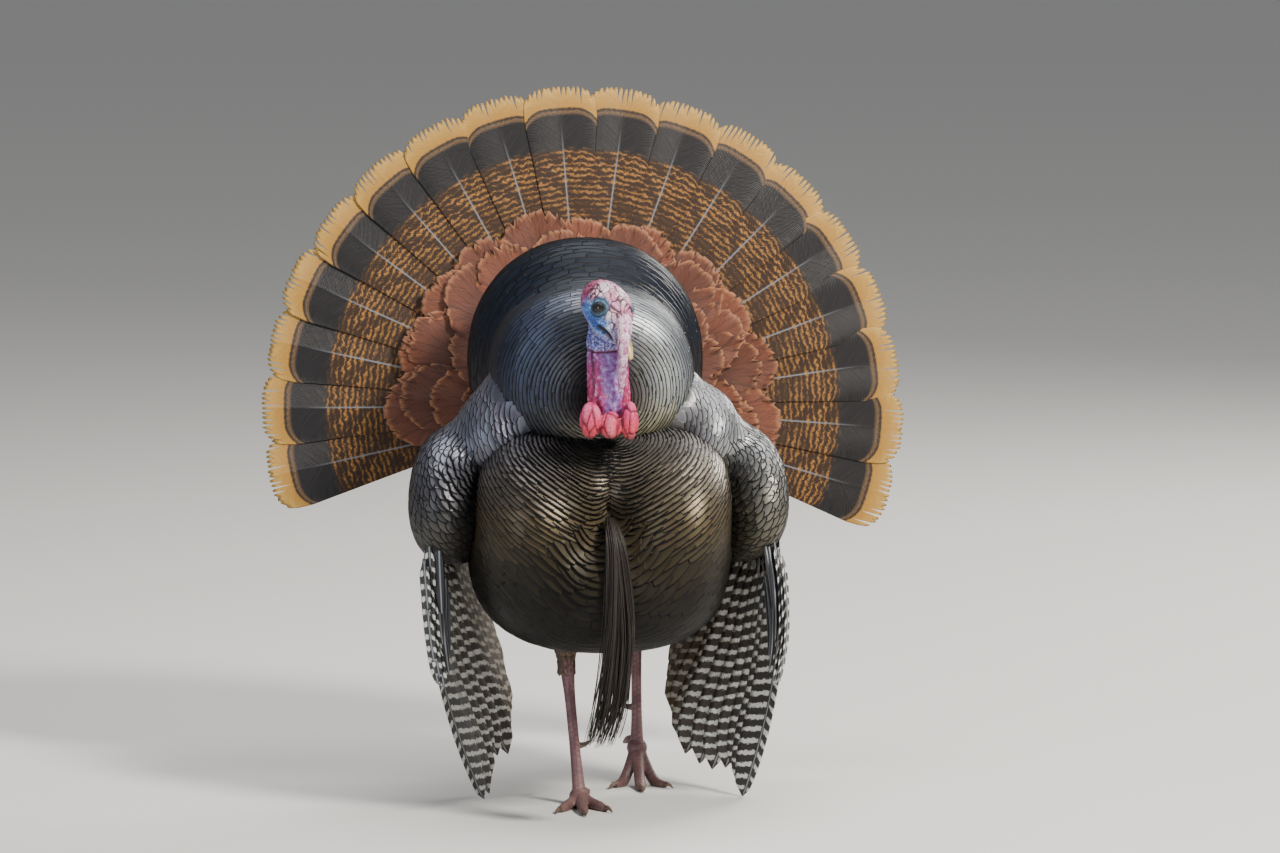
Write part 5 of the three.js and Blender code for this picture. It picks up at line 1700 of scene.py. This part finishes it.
def makeBill():
    material, n, shader = newMaterial("billHorn", Roughness=0.38, Coat_Weight=0.25, Coat_Roughness=0.25)
    place = n.add("ShaderNodeTexCoord").outputs["Object"]
    streak = n.noise(place, 260.0, 3.0, 0.6, stretch=(1, 1, 0.35))
    tint = n.attribute("tint").outputs["Color"]
    n.put(shader.inputs["Base Color"], n.blend(n.range(streak, 0.35, 0.75, 0.0, 0.45), tint, (0.16, 0.10, 0.06)))
    n.put(shader.inputs["Normal"], n.bump(streak, 0.0003, 0.4))
    for name, plan in billPlan.items():
        t = np.linspace(0, 1, 44)
        turn = np.arange(40) * 2 * np.pi / 40
        taper = np.sqrt(1 - (0.975 * t) ** 2.1)
        drop = plan["hook"] * t ** 2
        middle, high = (plan["top"] + plan["bottom"]) / 2, (plan["top"] - plan["bottom"]) / 2
        across = plan["half"] * taper[:, None] * np.sign(np.cos(turn)) * np.abs(np.cos(turn)) ** 1.15
        keel = 1 + 0.12 * np.sin(turn) ** 3 * (1 if name == "billUpper" else -1)
        height = (middle * taper - drop)[:, None] + (high * taper)[:, None] * np.sin(turn) * keel
        local = np.stack((across, (plan["base"] - plan["length"] * t)[:, None] + 0 * turn, height), -1)
        if name == "billUpper":
            for side in (-1, 1):  # nostril under its flap
                gap = np.linalg.norm((local - (side * 7.6, -42.5, -0.3)) / (2.2, 3.4, 1.4), axis=-1)
                local[..., 0] -= side * 1.5 * smooth(1.1, 0.3, gap)
                local[..., 0] += side * 0.55 * bell(gap, 1.6, 0.35)
        piece = solidFromRings(name, onHead(local))
        fromTip = plan["length"] * (1 - t)
        colour = ramp(fromTip, [(0, (0.66, 0.50, 0.20)), (10, (0.52, 0.37, 0.14)), (19, (0.16, 0.11, 0.07)), (34, (0.10, 0.10, 0.14))])
        tints = np.repeat(colour, 40, axis=0)
        if name == "billUpper":
            x, y, z = local.reshape(-1, 3).T
            # Painted shade in the nostril.
            dark = smooth(1.2, 0.6, np.linalg.norm((np.stack((np.abs(x), y, z), -1) - (6.6, -42.5, -0.3)) / (3, 3.0, 1.2), axis=-1))
            tints = mix(tints, np.array((0.01, 0.008, 0.008)), dark[:, None])
        setColours(piece, tints)
        selectOnly(piece)
        bpy.ops.object.shade_smooth()
        piece.data.materials.append(material)
        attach(piece, "root")
        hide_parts("bill_upper" if name == "billUpper" else "bill_lower")


# Claws and spurs keep their solids, in grown horn
def paintHorn():
    material, n, shader = newMaterial("clawHorn", Roughness=0.4, Coat_Weight=0.2, Coat_Roughness=0.3)
    place = n.add("ShaderNodeTexCoord").outputs["Object"]
    grown = n.noise(place, 330.0, 3.0, 0.6, stretch=(1, 0.3, 1))
    worn = n.noise(place, 90.0, 2.0, 0.5)
    dark = n.blend(n.range(grown, 0.35, 0.7), (0.055, 0.034, 0.026), (0.15, 0.095, 0.065))
    n.put(shader.inputs["Base Color"], n.blend(n.range(worn, 0.5, 0.75, 0.0, 0.5), dark, (0.26, 0.17, 0.12)))
    n.put(shader.inputs["Roughness"], n.range(worn, 0.3, 0.7, 0.34, 0.55))
    n.put(shader.inputs["Normal"], n.bump(grown, 0.0003, 0.5))
    for name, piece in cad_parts.items():
        if name.startswith(("claw", "spur")):
            piece.data.materials.clear()
            piece.data.materials.append(material)


# Sparse hair-like bristles on the nape, cheeks and neck
bristlePlan = {"count": 620, "length": (2.6, 5.2), "thick": 0.19, "steps": 4}


def makeBristles(points, normals, wanted):
    plan = bristlePlan
    picked = chance.choice(np.flatnonzero(wanted), plan["count"], replace=False)
    root, out = points[picked], normals[picked]
    long = chance.uniform(*plan["length"], (plan["count"], 1))
    share = np.linspace(0, 1, plan["steps"])[None, :, None]
    bend = np.array((0, 0.25, -0.85)) + chance.normal(0, 0.18, (plan["count"], 3))
    line = (root - 0.4 * out)[:, None] + out[:, None] * (0.4 + long[:, None] * share * (1 - 0.45 * share)) + bend[:, None] * long[:, None] * share ** 2 * 0.7
    across = np.cross(out, bend)
    across /= np.maximum(np.linalg.norm(across, axis=1, keepdims=True), 1e-6)
    other = np.cross(out, across)
    turn = np.arange(3) * 2 * np.pi / 3
    ring = np.cos(turn)[None, None, :, None] * across[:, None, None] + np.sin(turn)[None, None, :, None] * other[:, None, None]
    grid = line[:, :, None] + ring * (plan["thick"] * (1 - 0.8 * share))[..., None]
    steps = plan["steps"]
    index = np.arange(steps * 3).reshape(steps, 3)
    following = np.roll(index, -1, axis=1)
    walls = np.stack((index[:-1], following[:-1], following[1:], index[1:]), -1).reshape(-1, 4)
    quads = (walls[None] + (np.arange(plan["count"]) * steps * 3)[:, None, None]).reshape(-1, 4)
    cell = np.stack((np.arange(plan["count"]) % 26 / 26, np.arange(plan["count"]) // 26 / 26), -1) + 0.004
    patch = cell[:, None, None] + 0.03 * np.stack(np.broadcast_arrays(np.arange(3) / 3, np.linspace(0, 1, steps)[:, None]), -1)
    tints = np.repeat(np.array((0.02, 0.015, 0.015)) * chance.uniform(0.5, 1.6, (plan["count"], 1)), steps * 3, axis=0)
    vane = np.zeros((plan["count"], steps, 3, 2)) + share[..., None] * (0, 4)
    layers = {"OFBake": patch.reshape(-1, 2), "vane": vane.reshape(-1, 2)}
    piece = meshFromArrays("headBristles", toFrame(grid.reshape(-1, 3)), quads, layers, {"tint": tints})
    selectOnly(piece)
    bpy.ops.object.mode_set(mode="EDIT")
    bpy.ops.mesh.select_all(action="SELECT")
    bpy.ops.mesh.fill_holes(sides=3)
    bpy.ops.mesh.normals_make_consistent(inside=False)
    bpy.ops.object.mode_set(mode="OBJECT")
    piece.data.materials.append(materials["beard"])
    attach(piece, "root")
    say(f"bristles, {plan['count']}")


skin, skinSizes = makeSkin()
makeEyes()
makeBill()
paintHorn()
say("eyes, bill and claws")
